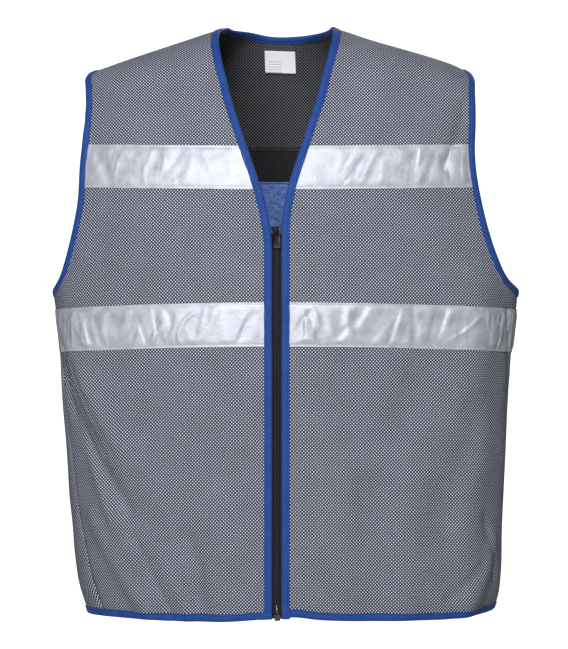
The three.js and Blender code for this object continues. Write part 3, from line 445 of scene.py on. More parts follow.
def meshClothMaterial(part):
    # Warp-knitted polyester mesh over a pale spacer cloth, in a diamond net: the eye gets dark net lines with light
    # dots of the layer behind, and hardly any gloss.
    material, tree = newMaterial("polyesterMesh" + part)
    uv = node(tree, "UVMap", uv_map="clothMap")
    place = node(tree, "SeparateXYZ", {0: uv}).outputs
    drift = node(tree, "TexNoise", {"Vector": uv, "Scale": 160.0, "Detail": 1.0})
    centred = node(tree, "Math", {0: drift, 1: 0.5}, operation="SUBTRACT")
    wobble = node(tree, "Math", {0: centred, 1: meshCloth["wander"]}, operation="MULTIPLY")
    places = []
    for socket, way, pitch in ((0, "ADD", "across"), (1, "SUBTRACT", "down")):
        moved = node(tree, "Math", {0: place[socket], 1: wobble}, operation=way)
        places.append(node(tree, "Math", {0: moved, 1: 1000 / meshCloth[pitch]}, operation="MULTIPLY"))
    waves = []
    for way in ("ADD", "SUBTRACT"):
        slope = node(tree, "Math", {0: places[0], 1: places[1]}, operation=way)
        turn = node(tree, "Math", {0: slope, 1: 2 * math.pi}, operation="MULTIPLY")
        waves.append(node(tree, "Math", {0: turn}, operation="COSINE"))
    height = node(tree, "Math", {0: waves[0], 1: waves[1]}, operation="ADD")
    dots = node(tree, "MapRange", {"Value": height, "From Min": meshCloth["dotFrom"], "From Max": meshCloth["dotTo"]},
                interpolation_type="SMOOTHSTEP")
    fine = node(tree, "TexNoise", {"Vector": uv, "Scale": 1900.0, "Detail": 2.0})
    patch = node(tree, "TexNoise", {"Vector": uv, "Scale": 24.0, "Detail": 2.0})
    fineShade = node(tree, "MapRange", {"Value": fine, "To Min": 0.58, "To Max": 1.08})
    shade = node(tree, "Math", {0: patch, 1: 0.35, 2: fineShade}, operation="MULTIPLY_ADD")
    fineRelief = node(tree, "Math", {0: fine, 1: 0.3}, operation="MULTIPLY")
    relief = node(tree, "Math", {0: fineRelief, 1: dots}, operation="SUBTRACT")
    return finished(material, dots, meshCloth[part], shade, relief, (0.38, 0.0005), {"Roughness": 0.85})


def bindingMaterial():
    # Knitted polyester binding, dyed royal blue: fine ribs along the strip and a soft, slightly silky face.
    material, tree = newMaterial("knittedPolyesterBinding")
    uv = node(tree, "UVMap", uv_map="clothMap")
    # courses 1.1 mm and wales 1.2 mm apart, coarser than the real 0.5 mm so that they show
    weave = ribbed(tree, uv, (0.0011, 0.0012))
    cloud = node(tree, "TexNoise", {"Vector": uv, "Scale": 90.0, "Detail": 4.0})
    shade = node(tree, "Math", {0: weave, 1: 0.1, 2: 1.0}, operation="MULTIPLY_ADD")
    relief = node(tree, "Math", {0: cloud, 1: 2.0, 2: weave}, operation="MULTIPLY_ADD")
    return finished(material, cloud, ("#0a307a", "#1350a2"), shade, relief, (0.35, 0.0003),
                    {"Roughness": 0.72, "Sheen Weight": 0.08, "Sheen Roughness": 0.4})


def reflectiveMaterial():
    # Glass beads bonded on aluminium-backed fabric tape: a silvery grey film, satin, with fine grit and soft clouds.
    material, tree = newMaterial("glassBeadReflectiveTape")
    uv = node(tree, "UVMap", uv_map="clothMap")
    cloud = node(tree, "TexNoise", {"Vector": uv, "Scale": 70.0, "Detail": 5.0})
    grit = node(tree, "TexNoise", {"Vector": uv, "Scale": 2200.0, "Detail": 1.0})
    crease = node(tree, "TexNoise", {"Vector": uv, "Scale": 260.0, "Detail": 4.0, "Roughness": 0.65})
    ramp = node(tree, "MapRange", {"Value": cloud, "From Min": 0.3, "From Max": 0.7})
    shade = node(tree, "MapRange", {"Value": grit, "To Min": 0.92, "To Max": 1.08})
    rough = node(tree, "MapRange", {"Value": cloud, "To Min": 0.42, "To Max": 0.54})
    return finished(material, ramp, ("#b2b5c1", "#cdd0da"), shade, crease, (0.45, 0.0008),
                    {"Roughness": rough, "Metallic": 0.28})


def fleeceMaterial():
    # Absorbent needled fleece, mid blue: matt, mottled, with short loose fibres.
    material, tree = newMaterial("needledFleeceLining")
    uv = node(tree, "UVMap", uv_map="clothMap")
    fibre = node(tree, "TexNoise", {"Vector": uv, "Scale": 210.0, "Detail": 6.0, "Roughness": 0.8})
    patch = node(tree, "TexNoise", {"Vector": uv, "Scale": 55.0, "Detail": 3.0})
    tuft = node(tree, "MapRange", {"Value": fibre, "From Min": 0.36, "From Max": 0.64})
    shade = node(tree, "MapRange", {"Value": patch, "To Min": 0.85, "To Max": 1.15})
    return finished(material, tuft, ("#2e50a8", "#88a8ea"), shade, fibre, (0.6, 0.0008),
                    {"Roughness": 0.95, "Sheen Weight": 0.35})


def wovenMaterial(name, colours, pitch, roughness=0.85, sheen=0.1):
    # Plain-woven polyester: over-and-under threads at the given pitch, in mm.
    material, tree = newMaterial(name)
    weave = ribbed(tree, node(tree, "UVMap", uv_map="clothMap"), [0.002 * pitch] * 2)
    factor = node(tree, "Math", {0: weave, 1: 0.5, 2: 0.5}, operation="MULTIPLY_ADD")
    return finished(material, factor, colours, None, weave, (0.4, 0.0002),
                    {"Roughness": roughness, "Sheen Weight": sheen})


def hardMaterial(name, colours, roughness, grain, ior=1.5):
    # Cast or moulded small parts. The object-space noise breaks up the gloss as handling does.
    material, tree = newMaterial(name)
    place = node(tree, "TexCoord").outputs["Object"]
    cloud = node(tree, "TexNoise", {"Vector": place, "Scale": grain, "Detail": 5.0})
    ramp = node(tree, "MapRange", {"Value": cloud, "From Min": 0.45, "From Max": 0.75})
    rough = node(tree, "MapRange", {"Value": cloud, "To Min": roughness - 0.1, "To Max": roughness + 0.15})
    return finished(material, ramp, colours, None, cloud, (0.15, 0.0001), {"Roughness": rough, "IOR": ior})


# the inside copies are the same mesh cloth darkened as painted shade; the band copy is darker still, as painted shade
# behind the upper tape
outerCloth, shadedInsideCloth, tapeShadowInsideCloth = [meshClothMaterial(part) for part in ("Face", "Reverse", "ReverseUnderTapeShadow")]
bindingCloth = bindingMaterial()
silverTape = reflectiveMaterial()
blueFleece = fleeceMaterial()
zipCloth = wovenMaterial("wovenZipTape", ("#070708", "#141417"), 0.5)
greyThread = wovenMaterial("spunPolyesterThreadGrey", ("#b9bbc4", "#e6e8ee"), 0.3, 0.6, 0.2)
blueThread = wovenMaterial("spunPolyesterThreadBlue", ("#1c3b80", "#3560b4"), 0.3, 0.6, 0.2)
midThread = wovenMaterial("spunPolyesterThreadMid", ("#77787e", "#a9aab2"), 0.3, 0.6, 0.2)
darkThread = wovenMaterial("spunPolyesterThreadDark", ("#101114", "#26272c"), 0.3, 0.7, 0.1)
coilNylon = hardMaterial("mouldedNylonCoil", ("#2c2c32", "#44444c"), 0.36, 900.0)
# thin semi-gloss paint on a casting: a weaker shine than lacquer, matched to the dull black of the real slider
paintedZinc = hardMaterial("paintedZincCasting", ("#030304", "#070708"), 0.28, 350.0, 1.3)
greyAcetal = hardMaterial("mouldedAcetal", ("#3d3d3f", "#5a5a5c"), 0.45, 600.0)
print("materials made")

cloth = {
    "wall": 2.0, "seamGap": 0.15, "seamReach": 4.0, "seamDepth": 2.2, "clearOfFold": 2.2, "waviness": 1.2,
    "rowsBelow": 160, "rowsAbove": 59, "columnsFront": 96, "columnsBack": 148,
    "grainFrom": -168.0,  # above the upper tape the cloth's grain runs straight up
    "bandTop": -131, "bandFoot": -181,  # the band inside the back that is painted darker as shade, behind the upper tape
}
# the fold lines that the bindings wrap, with points every few mm
neckS, neckZ = neckLine(2.4)
armS, armZ = {}, {}
for isRight in (False, True):
    armS[isRight], armZ[isRight] = armLine(isRight, 2.4)
hemS, hemZ = hemLine(3.0)
foldPoints = np.concatenate([surface(*line) for line in (
    (neckS, neckZ), (armS[False], armZ[False]), (armS[True], armZ[True]), (hemS, hemZ))])
foldTree = KDTree(len(foldPoints))
for index, point in enumerate(foldPoints):
    foldTree.insert(point, index)
foldTree.balance()


def insideLoop(s, z, loopS, loopZ):
    inside = np.zeros(s.shape, bool)
    nextS, nextZ = np.roll(loopS, -1), np.roll(loopZ, -1)
    for s0, z0, s1, z1 in zip(loopS, loopZ, nextS, nextZ):
        if z0 == z1:
            continue
        crosses = (z0 > z) != (z1 > z)
        inside ^= crosses & (s < (s1 - s0) * (z - z0) / (z1 - z0) + s0)
    return inside


def onCloth(s, z):
    # outside the openings, as signed places
    isRight, around = turnOf(s)
    cut = np.where(isRight, insideLoop(-around, z, armS[True], armZ[True]),
                   insideLoop(around, z, armS[False], armZ[False]))
    edge = np.where(isRight, edgeRound(True, z), edgeRound(False, z))
    backS = np.where(isRight, 4 - around, around)
    cut |= np.where(around <= 1, (around < edge) | (z > -0.5), z > backNeckHeight(backS))
    return ~(cut | (z > 1.5) | (z < hemHeight(s)))


def seamDip(s, around):
    # the cloth turns in at the side and shoulder seams
    away = np.abs(1 - turnOf(s)[1]) * np.linalg.norm(around, axis=-1)
    return -cloth["seamDepth"] * np.exp(-((away / cloth["seamReach"]) ** 2))


def clothPanel(name, sLow, sHigh, columns, replaces):
    onBack = sLow > 0.5
    z = np.concatenate([np.linspace(-vest["bodyLength"] + 1, -62, cloth["rowsBelow"]),
                        np.linspace(-60, 1.2, cloth["rowsAbove"])])
    s, z = np.meshgrid(np.linspace(sLow, sHigh, columns), z)
    rows = len(z)
    around = frameOn(s, z)[1]
    for column, way in ((0, 1), (columns - 1, -1)):  # the panel stops short of its seams
        if abs(turnOf(s[0, column])[1] - 1) < 1e-6:
            s[:, column] += way * cloth["seamGap"] / np.linalg.norm(around[:, column], axis=-1)
    points, around, _, normal = frameOn(s, z)
    waves = (latticeNoise(s * 9, z / 34, 3) - 0.5) * cloth["waviness"]
    points = points + normal * (seamDip(s, around) + waves)[..., None]
    # the sheet's flat map, from distances walked over it
    walkedU, walkedV = walk(points, 1), walk(points)
    if onBack:
        walkedU -= walkedU[:, columns // 2][:, None]
    elif sLow < 0:
        walkedU -= walkedU[:, -1:]
    # higher up it follows lines of one x
    level = int(np.argmin(np.abs(z[:, 0] - cloth["grainFrom"])))
    order = np.argsort(points[level, :, 0])
    levelX = points[level, order, 0]
    x, start, high = points[level + 1:, :, 0], z[level, 0], z[level + 1:]
    stepsZ = np.linspace(start + 0 * high, high, 30)
    depths = [surface(placeFor(x, stepZ, onBack), stepZ)[..., 1] for stepZ in stepsZ]
    climbed = np.hypot(np.diff(depths, axis=0), (high - start) / 29).sum(0)
    walkedU[level + 1:] = np.interp(x, levelX, walkedU[level, order])
    walkedV[level + 1:] = np.interp(x, levelX, walkedV[level, order]) + climbed
    flatPoints, flatZ = points.reshape(-1, 3), z.ravel()
    keep = onCloth(s.ravel(), flatZ)
    for i in np.flatnonzero(keep):
        keep[i] = foldTree.find(flatPoints[i])[2] > cloth["clearOfFold"]
    uv = np.stack([walkedU.ravel(), walkedV.ravel()], 1)
    flatPoints, faces, uv, used = compact(flatPoints, gridFaces(rows, columns, keep), uv)
    middle = flatZ[used][faces].mean(1)
    slots = np.where(onBack & (middle < cloth["bandTop"]) & (middle > cloth["bandFoot"]), 2, 0)
    materials = [outerCloth, shadedInsideCloth, outerCloth, tapeShadowInsideCloth]  # outside and inside, plain and in the band of painted shade behind the upper tape
    piece = makePiece(name, flatPoints, faces, uv, materials, "mesh_cloth", slots=slots, replaces=replaces)
    solid = thicken(piece, cloth["wall"])
    solid.material_offset = 1
    return piece


frontLeft = clothPanel("cloth_front_left", 0.005, 1, cloth["columnsFront"], "front_left_panel")
frontRight = clothPanel("cloth_front_right", -1, -0.005, cloth["columnsFront"], "front_right_panel")
backCloth = clothPanel("cloth_back", 1, 3, cloth["columnsBack"], "back_panel")
print("cloth panels made")


def capped(profileCount, pointCount, closed):
    # faces of a swept profile, with its ends closed
    turns = pointCount if closed else pointCount - 1
    i, j = np.meshgrid(np.arange(turns), np.arange(profileCount), indexing="ij")
    i, j = i.ravel(), j.ravel()
    ni, nj = (i + 1) % pointCount, (j + 1) % profileCount
    quads = np.stack([i * profileCount + j, ni * profileCount + j, ni * profileCount + nj, i * profileCount + nj], 1)
    faces = quads.tolist()
    if not closed:
        faces.append(list(range(profileCount)))
        faces.append(list(range((pointCount - 1) * profileCount, pointCount * profileCount))[::-1])
    return faces


def tube(path, radius, sides=5, closed=False):
    # a round strand along points, as (points, faces)
    path = np.asarray(path, float)
    along = directionsOf(path, closed)
    helper = np.where(np.abs(along[:, 2:3]) > 0.9, [[1.0, 0, 0]], [[0, 0, 1.0]])
    one = unit(np.cross(along, helper))
    two = np.cross(along, one)
    turn = np.arange(sides) * 2 * math.pi / sides
    rings = (path[:, None] + radius * (np.cos(turn)[None, :, None] * one[:, None]
                                       + np.sin(turn)[None, :, None] * two[:, None]))
    return rings.reshape(-1, 3), capped(sides, len(path), closed)


def joined(parts):
    faces, start = [], 0
    for points, partFaces in parts:
        faces += [[start + v for v in face] for face in partFaces]
        start += len(points)
    return np.concatenate([points for points, _ in parts]), faces


# one stitch: shares of its length, and heights there
stitchShares, stitchHeights = np.array([0, 0.2, 0.8, 1]), np.array([-0.2, 0.12, 0.12, -0.2])


def stitchRow(points, normals, settings):
    # one thread segment after another along a line of points, each sunk in at both ends
    walked = walk(points)
    parts = []
    at = settings["pitch"] / 2
    while at < walked[-1] - settings["pitch"]:
        t = at + stitchShares * settings["length"]
        p = np.stack([np.interp(t, walked, points[:, k]) for k in range(3)], 1)
        n = unit(np.stack([np.interp(t, walked, normals[:, k]) for k in range(3)], 1))
        parts.append(tube(p + n * stitchHeights[:, None], settings["radius"], 4))
        at += settings["pitch"]
    return parts


def solidPiece(name, parts, material, recordSlot, place=None, shift=(0, 0, 0), **more):
    # joins (points, faces) parts and maps them from the front
    points, faces = joined(parts)
    points = points + shift
    makePiece(name, place(points) if place else points, faces, points[:, [0, 2]], [material], recordSlot, **more)


def threadPiece(name, rows, material, settings, recordSlot):
    solidPiece(name, [part for row in rows for part in stitchRow(*row, settings)], material, recordSlot)


tapeThread = {"pitch": 3.1, "length": 2.5, "radius": 0.2}
bindingThread = {"pitch": 2.8, "length": 2.2, "radius": 0.17}

# reflective tapes, sewn on the outside along both long edges
tape = {
    "width": 50, "wall": 0.3, "lift": 1.32, "seamLift": 0.45, "stitchIn": 2.4, "step": 1.2, "stepBehind": 1.8,
    "underBinding": 7.4, "seamClear": 0.0012, "pucker": 0.22, "stitchReach": 0.9, "armFoot": -290, "armTop": -70,
    "flatEdge": (1, 9), "flatEnd": (2, 16),  # mm over which the wrinkles rise from the sewn edges and ends
    # wrinkles: mm of tape for each, tilt and bend as spreads, half length and width as ranges, heights
    "crestEvery": 6, "crestTilt": (0.22, 0.3), "crestBend": (0, 0.008), "crestHalf": (18, 40), "crestWidth": (4.5, 12),
    "crestHeight": 1.2, "mostRise": 2.3,
    "upperFront": -145.5, "upperSide": -138.25, "upperBack": -131,
    "lowerFront": -322.5, "lowerSide": -328.5, "lowerBack": -322.5,
}


def bandTop(kind, s):
    _, around = turnOf(s)
    body = np.where(around < 1, tape[kind + "Front"], tape[kind + "Back"])
    return lerp(body, tape[kind + "Side"], np.sin(np.minimum(around, 2) * math.pi / 2) ** 2)


def shifted(s, z, distance, closed):
    return goLeft(s, z, directionsOf(surface(s, z), closed), np.full(s.shape, float(distance)))


def curveOf(s, z, keep):
    order = np.argsort(z[keep])
    return z[keep][order], s[keep][order]


neckIn = shifted(neckS, neckZ, tape["underBinding"], False)
armIn = {side: shifted(armS[side], armZ[side], tape["underBinding"], True) for side in (False, True)}
leftNeck = curveOf(neckIn[0] + 4, neckIn[1], neckIn[0] < -3)
rightNeck = curveOf(neckIn[0], neckIn[1], neckIn[0] > -1)


def armCurve(isRight, onBack):
    # one half of an armhole's inner line, where the tapes end under the binding
    s, z = armIn[isRight]
    half = (np.abs(armS[isRight]) > 1) == onBack
    beside = (armZ[isRight] > tape["armFoot"]) & (armZ[isRight] < tape["armTop"])
    return curveOf(s + 4 if isRight and onBack else s, z, half & beside)


def seamCurve(value):
    return np.array([-800.0, 100.0]), np.array([value, value])


def crumples(u, v, length, seed, strength):
    # sharp-crested wrinkles that run mostly across the tape, at most about 2 mm high
    rng = np.random.default_rng(seed)
    rise = 0.5 * (latticeNoise(u / 26, v / 40, seed) - 0.5)
    for _ in range(int(length / tape["crestEvery"])):
        cu, cv = rng.uniform(0, length), rng.uniform(6, 44)
        tilt, half = rng.normal(*tape["crestTilt"]), rng.uniform(*tape["crestHalf"])
        width, bend = rng.uniform(*tape["crestWidth"]), rng.normal(*tape["crestBend"])
        side = rng.choice([-1, 1, 1])
        du, dv = u - cu, v - cv
        along = du * math.sin(tilt) + dv * math.cos(tilt)
        off = du * math.cos(tilt) - dv * math.sin(tilt) + bend * along ** 2
        crest = np.clip(np.where(off > 0, 1 - off / width, 1 + off / (width * rng.uniform(0.4, 1))), 0, 1)
        crest = lerp(crest, smoothStep(0, 1, crest), rng.uniform(0.3, 1))
        high = side * rng.uniform(0.3, 1) * tape["crestHeight"] * strength(cu / length)
        rise += high * crest * np.clip(1 - (along / half) ** 2, 0, 1)
    return rise


def tapePiece(name, kind, low, high, seed, strength):
    # low and high: the curves that the tape's two ends lie on; strength: how creased it is along its length
    step = tape["stepBehind"] if "back" in name else tape["step"]
    rows = int(tape["width"] / step) + 1
    middleZ = tape[kind + "Front"] - tape["width"] / 2
    sMiddle = [np.interp(middleZ, *curve) for curve in (low, high)]
    length = walk(surface(np.linspace(*sMiddle, 60), middleZ))[-1]
    columns = int(length / step)
    t, v = np.meshgrid(np.linspace(0, 1, columns), np.linspace(0, 1, rows))
    s = lerp(sMiddle[0], sMiddle[1], t)
    for _ in range(4):
        z = bandTop(kind, s) - (1 - v) * tape["width"]
        s = lerp(np.interp(z, *low), np.interp(z, *high), t)
    points, _, _, normal = frameOn(s, z)
    u, w = t * length, v * tape["width"]
    fromEdge = np.minimum(w, tape["width"] - w)
    sewn = smoothStep(*tape["flatEdge"], fromEdge) * smoothStep(*tape["flatEnd"], np.minimum(u, length - u))
    rise = np.clip(crumples(u, w, length, seed, strength) + 0.6, 0, tape["mostRise"]) * sewn
    nearStitch = np.exp(-((fromEdge - tape["stitchIn"]) / tape["stitchReach"]) ** 2)
    pucker = tape["pucker"] * (latticeNoise(u / 2.6, w / 9, seed + 5) - 0.2) * np.exp(-fromEdge / 6)
    lift = tape["lift"] + (rise + pucker + tape["seamLift"]) * (1 - nearStitch)
    points = points + normal * lift[..., None]
    _, level, *place = name.split("_")
    piece = gridSheet(name, points, u, w, silverTape, "reflective_tape", "_".join([*place, level, "tape"]),
                      tape["wall"], -1)
    share = tape["stitchIn"] / tape["width"]
    stitched = [int(round(at * (rows - 1))) for at in (share, 1 - share)]
    threadPiece(name.replace("tape", "stitching"), [(points[row], normal[row]) for row in stitched], greyThread,
                tapeThread, "reflective_tape")
    return piece, length


seamClear = tape["seamClear"]
tapes = [tapePiece(*row) for row in (
    ("tape_upper_front_left", "upper", leftNeck, armCurve(False, False), 21, lambda t: 0.3 + 0.5 * t),
    ("tape_upper_front_right", "upper", armCurve(True, False), rightNeck, 22, lambda t: 0.5),
    ("tape_lower_front_left", "lower", leftNeck, seamCurve(1 - seamClear), 23, lambda t: 1.5 - 0.6 * t),
    ("tape_lower_front_right", "lower", seamCurve(-1 + seamClear), rightNeck, 24,
     lambda t: 0.45 + 0.85 * min(1, t * 2.2)),
    ("tape_upper_back", "upper", armCurve(False, True), armCurve(True, True), 25, lambda t: 0.6),
    ("tape_lower_back", "lower", seamCurve(1 + seamClear), seamCurve(3 - seamClear), 26, lambda t: 0.7),
)]
print("tapes made")

# folded bindings: (distance from the fold, height over the cloth's middle) round the strip's section
bindingHalfShape = [
    (9.3, 1.12), (9.3, 1.75), (8.9, 2.1), (8.2, 2.25), (7.65, 2.15), (7.15, 1.42), (6.65, 2.1), (6.0, 2.38),
    (4.8, 2.48), (3.4, 2.45), (2.2, 2.25), (1.2, 1.85), (0.45, 1.25), (0.08, 0.55),
]
bindingInside = [(8.9, -1.12), (2.4, -1.15), (1.5, -0.6), (1.5, 0.6), (2.4, 1.15), (8.9, 1.12)]
bindingShape = bindingHalfShape + [(d, -h) for d, h in reversed(bindingHalfShape)] + bindingInside
binding = {
    "step": 2.2, "unevenWidth": 0.1, "unevenHeight": 0.32, "unevenFrom": 1.2, "stitchIn": 7.15, "stitchHeight": 1.6,
    "passOver": 1.45,  # extra height where one binding passes over another
    "cornerReach": 12.5, "legFrom": 9, "legTo": 13,  # mm of crossing at the hem's two front corners
    "hangPast": 0.5,  # mm by which the left front binding's end hangs below the hem at the zip
}


def bindingPiece(name, s, z, closed, replaces, seed, raised=0):
    # raised: extra height of the legs along the line, where one binding passes over another
    raised = raised + np.zeros(len(s))
    line = surface(s, z)
    directions, walked = directionsOf(line, closed), walk(line)
    rng = np.random.default_rng(seed)
    wide = 1 + binding["unevenWidth"] * (softened(rng.random(len(s)), 3, closed) - 0.5)
    tall = 1 + binding["unevenHeight"] * (softened(rng.random(len(s)), 4, closed) - 0.5)
    rings = {d: frameOn(*goLeft(s, z, directions, d * wide)) for d in {d for d, _ in bindingShape}}
    columns = []
    for k, (d, h) in enumerate(bindingShape):
        base, _, _, normal = rings[d]
        uneven = k < 2 * len(bindingHalfShape) and abs(h) > binding["unevenFrom"]
        height = h * (tall if uneven else 1) + np.sign(h) * raised
        columns.append(base + normal * height[:, None])
    points = np.stack(columns, 1).reshape(-1, 3)
    around = walk(np.array(bindingShape))
    uv = np.stack([np.repeat(walked, len(bindingShape)), np.tile(around, len(s))], 1)
    piece = makePiece(name, points, capped(len(bindingShape), len(s), closed), uv, [bindingCloth], "binding",
                      replaces=replaces)
    base, _, _, normal = rings[binding["stitchIn"]]
    lift = (binding["stitchHeight"] + raised)[:, None]
    rows = [(base + normal * side * lift, normal * side) for side in (1, -1)]
    threadPiece(name.replace("binding", "binding_stitching"), rows, blueThread, bindingThread, "binding")


cornerZ = hemHeight(0.02)
keepNeck = np.where(neckS < -3, neckZ > cornerZ - 0.2, neckZ > cornerZ + 1.2)
s, z = neckS[keepNeck], neckZ[keepNeck]
s, z = evenly(np.append(s, s[-1]), np.append(z, cornerZ - binding["hangPast"]), binding["step"])
overHem = np.where(s < -3, 1 - smoothStep(binding["legFrom"], binding["legTo"], z - cornerZ), 0)
bindingPiece("binding_neck_and_front", s, z, False, "neck_and_front_binding", 31, overHem * binding["passOver"])
for isRight, word in ((False, "left"), (True, "right")):
    s, z = evenly(armS[isRight], armZ[isRight], binding["step"], True)
    bindingPiece(f"binding_armhole_{word}", s, z, True, f"{word}_armhole_binding", 32 + isRight)
s, z = evenly(hemS[1:], hemZ[1:], binding["step"])
fromEnd = np.arange(len(s))[::-1] * binding["step"]
overFront = 1 - smoothStep(binding["cornerReach"] - 2, binding["cornerReach"] + 2, fromEnd)
bindingPiece("binding_hem", s, z, False, "hem_binding", 34, overFront * binding["passOver"])
print("bindings made")

# lining inside the back, with a rolled top edge
lining = {
    "wall": 1.3, "depth": 2.1, "top": -174, "clear": 10.4, "rows": 110, "columns": 110, "seamClear": 0.006,
    "billow": 0.9, "ripple": 0.35, "rollRadius": 1.05, "rollDepth": 0.9, "rollRise": 0.2,
}
sides = []
for isRight in (False, True):
    s, z = shifted(armS[isRight], armZ[isRight], lining["clear"], True)
    sides.append(curveOf(s + 4 * isRight, z, (np.abs(armS[isRight]) > 1) & (armZ[isRight] < -90)))
t, v = np.meshgrid(np.linspace(0, 1, lining["columns"]), np.linspace(0, 1, lining["rows"]))
leftSeam, rightSeam = 1 + lining["seamClear"], 3 - lining["seamClear"]
s = lerp(1.0, 3.0, t)
for _ in range(3):
    z = lerp(hemHeight(s) + lining["clear"], lining["top"], v)
    s = lerp(np.maximum(leftSeam, np.interp(z, *sides[0], left=leftSeam)),
             np.minimum(rightSeam, np.interp(z, *sides[1], left=rightSeam)), t)
points, _, _, normal = frameOn(s, z)
soft = ((latticeNoise(s * 14, z / 26, 41) - 0.5) * lining["billow"]
        + (latticeNoise(s * 60, z / 6, 42) - 0.5) * lining["ripple"])
edge = smoothStep(0, 12, np.minimum(z - z[:1], lining["top"] - z))
points = points - normal * (lining["depth"] + np.maximum(0, soft + 0.2) * edge)[..., None]
liningPiece = gridSheet("lining_back", points, s * foldSpan, z, blueFleece, "lining", "back_lining", lining["wall"])
rolled = points[-1] - normal[-1] * lining["rollDepth"] + [0, 0, lining["rollRise"]]
solidPiece("lining_top_edge", [tube(rolled, lining["rollRadius"], 8)], blueFleece, "lining")

# the stitch line of the back's upper tape, seen from inside, and just above it a thin dark cord as painted shadow
# along the top of the shaded band
band = {"stitchDepth": 1.05, "edgeDepth": 1.1, "edgeRise": 1.7, "edgeRadius": 0.6}
s = np.linspace(1.25, 2.75, 300)
z = bandTop("upper", s) - tape["stitchIn"]
shown = onCloth(s, z)
points, _, _, normal = frameOn(s[shown], z[shown])
threadPiece("stitching_back_inside", [(points - normal * band["stitchDepth"], -normal)], midThread, tapeThread,
            "mesh_cloth")
# a dark cord stands in for the shadow line at the band's top: painted shadow
shadowCord = points - normal * band["edgeDepth"] + [0, 0, band["edgeRise"]]
solidPiece("band_top_shadow_cord", [tube(shadowCord, band["edgeRadius"], 6)], zipCloth, "mesh_cloth")

# label and its upper strip, hanging inside the back neck
label = {
    "width": 37, "across": 2.9, "tilt": math.radians(2), "stripTop": -10.2, "fold": -17.4, "foot": -43.0,
    "gap": 0.15, "depth": 2.9, "wall": 0.35, "curl": 0.5, "flutter": 0.25, "rows": 26, "columns": 34,
    # plain rules, in metres on the label's map: their pitch, the height they reach and their ends
    "rulePitch": 0.0031, "ruleTop": 0.015, "ruleFrom": 0.004, "ruleTo": 0.02, "ruleShare": 0.82,
}


def labelSheet(name, top, foot, material, replaces, recordSlot, curl):
    a, b = np.meshgrid(np.linspace(0.5, -0.5, label["columns"]), np.linspace(foot, top, label["rows"]))
    x = a * label["width"] + label["across"] + (label["stripTop"] - b) * math.sin(label["tilt"])
    z = b - a * label["width"] * math.sin(label["tilt"])
    points, _, _, normal = frameOn(placeFor(x, z, True), z)
    flutter = label["flutter"] * (latticeNoise(a * 5 + 9, b / 12, 51) - 0.5)
    away = label["depth"] + curl * ((top - b) / (top - foot)) ** 2 + flutter
    return gridSheet(name, points - normal * away[..., None], (a + 0.5) * label["width"], b - foot, material,
                     recordSlot, replaces, label["wall"])


def labelMaterial():
    # Satin-woven nylon label, near white, with plain grey ruled lines; it carries no lettering.
    material, tree = newMaterial("satinWovenLabel")
    uv = node(tree, "UVMap", uv_map="clothMap")
    part = node(tree, "SeparateXYZ", {0: uv}).outputs
    turn = node(tree, "Math", {0: part[1], 1: 2 * math.pi / label["rulePitch"]}, operation="MULTIPLY")
    sine = node(tree, "Math", {0: turn}, operation="SINE")
    rule = node(tree, "Math", {0: sine, 1: label["ruleShare"]}, operation="GREATER_THAN")
    for socket, way, limit in ((1, "LESS_THAN", "ruleTop"), (0, "GREATER_THAN", "ruleFrom"),
                               (0, "LESS_THAN", "ruleTo")):
        test = node(tree, "Math", {0: part[socket], 1: label[limit]}, operation=way)
        rule = node(tree, "Math", {0: rule, 1: test}, operation="MULTIPLY")
    thread = node(tree, "TexNoise", {"Vector": uv, "Scale": 2500.0, "Detail": 1.0})
    return finished(material, rule, ("#f6f6fa", "#a9aab2"), None, thread, (0.2, 0.0001),
                    {"Roughness": 0.6, "Sheen Weight": 0.1})


stripCloth = wovenMaterial("satinWovenStrip", ("#3a3b40", "#4f5057"), 0.4)
labelStrip = labelSheet("label_strip_woven", label["stripTop"], label["fold"], stripCloth, "label_strip",
                        "label_black", 0)
labelFace = labelSheet("label_face", label["fold"] - label["gap"], label["foot"], labelMaterial(), "label",
                       "label_white", label["curl"])
print("lining and label made")

# zip: woven tapes, coils of nylon, slider, pull, box and pin
zipParts = {
    "top": -244.4, "footDrop": 1.7, "footTrim": 1.4, "tapeIn": 0.3, "tapeOut": 13.6, "tapeBack": -3.6,
    "tapeWall": 0.7, "coilRise": 13.5, "coilStop": 6, "coilPitch": 2.1, "coilRadius": 0.43, "coilMiddle": -1.8,
    "coilHalfHeight": 0.8, "coilIn": 0.15, "coilOut": 2.9, "flare": 0.12, "slant": 0.36, "loopSteps": 12,
    "threadStop": 7, "threadOut": 3.9, "threadBack": -3.15,
}
zipThread = {"pitch": 1.9, "length": 1.5, "radius": 0.16}
footZ = -vest["bodyLength"] + vest["hemRiseAtZip"] - zipParts["footDrop"]
coilFoot = footZ + zipParts["coilRise"]


def besideZip(x, z):
    # middle line of the zip, moved sideways by x, with its normals
    middle, _, _, normal = frameOn(np.zeros(z.shape), z)
    return middle + np.stack([x, 0 * x, 0 * x], -1), normal


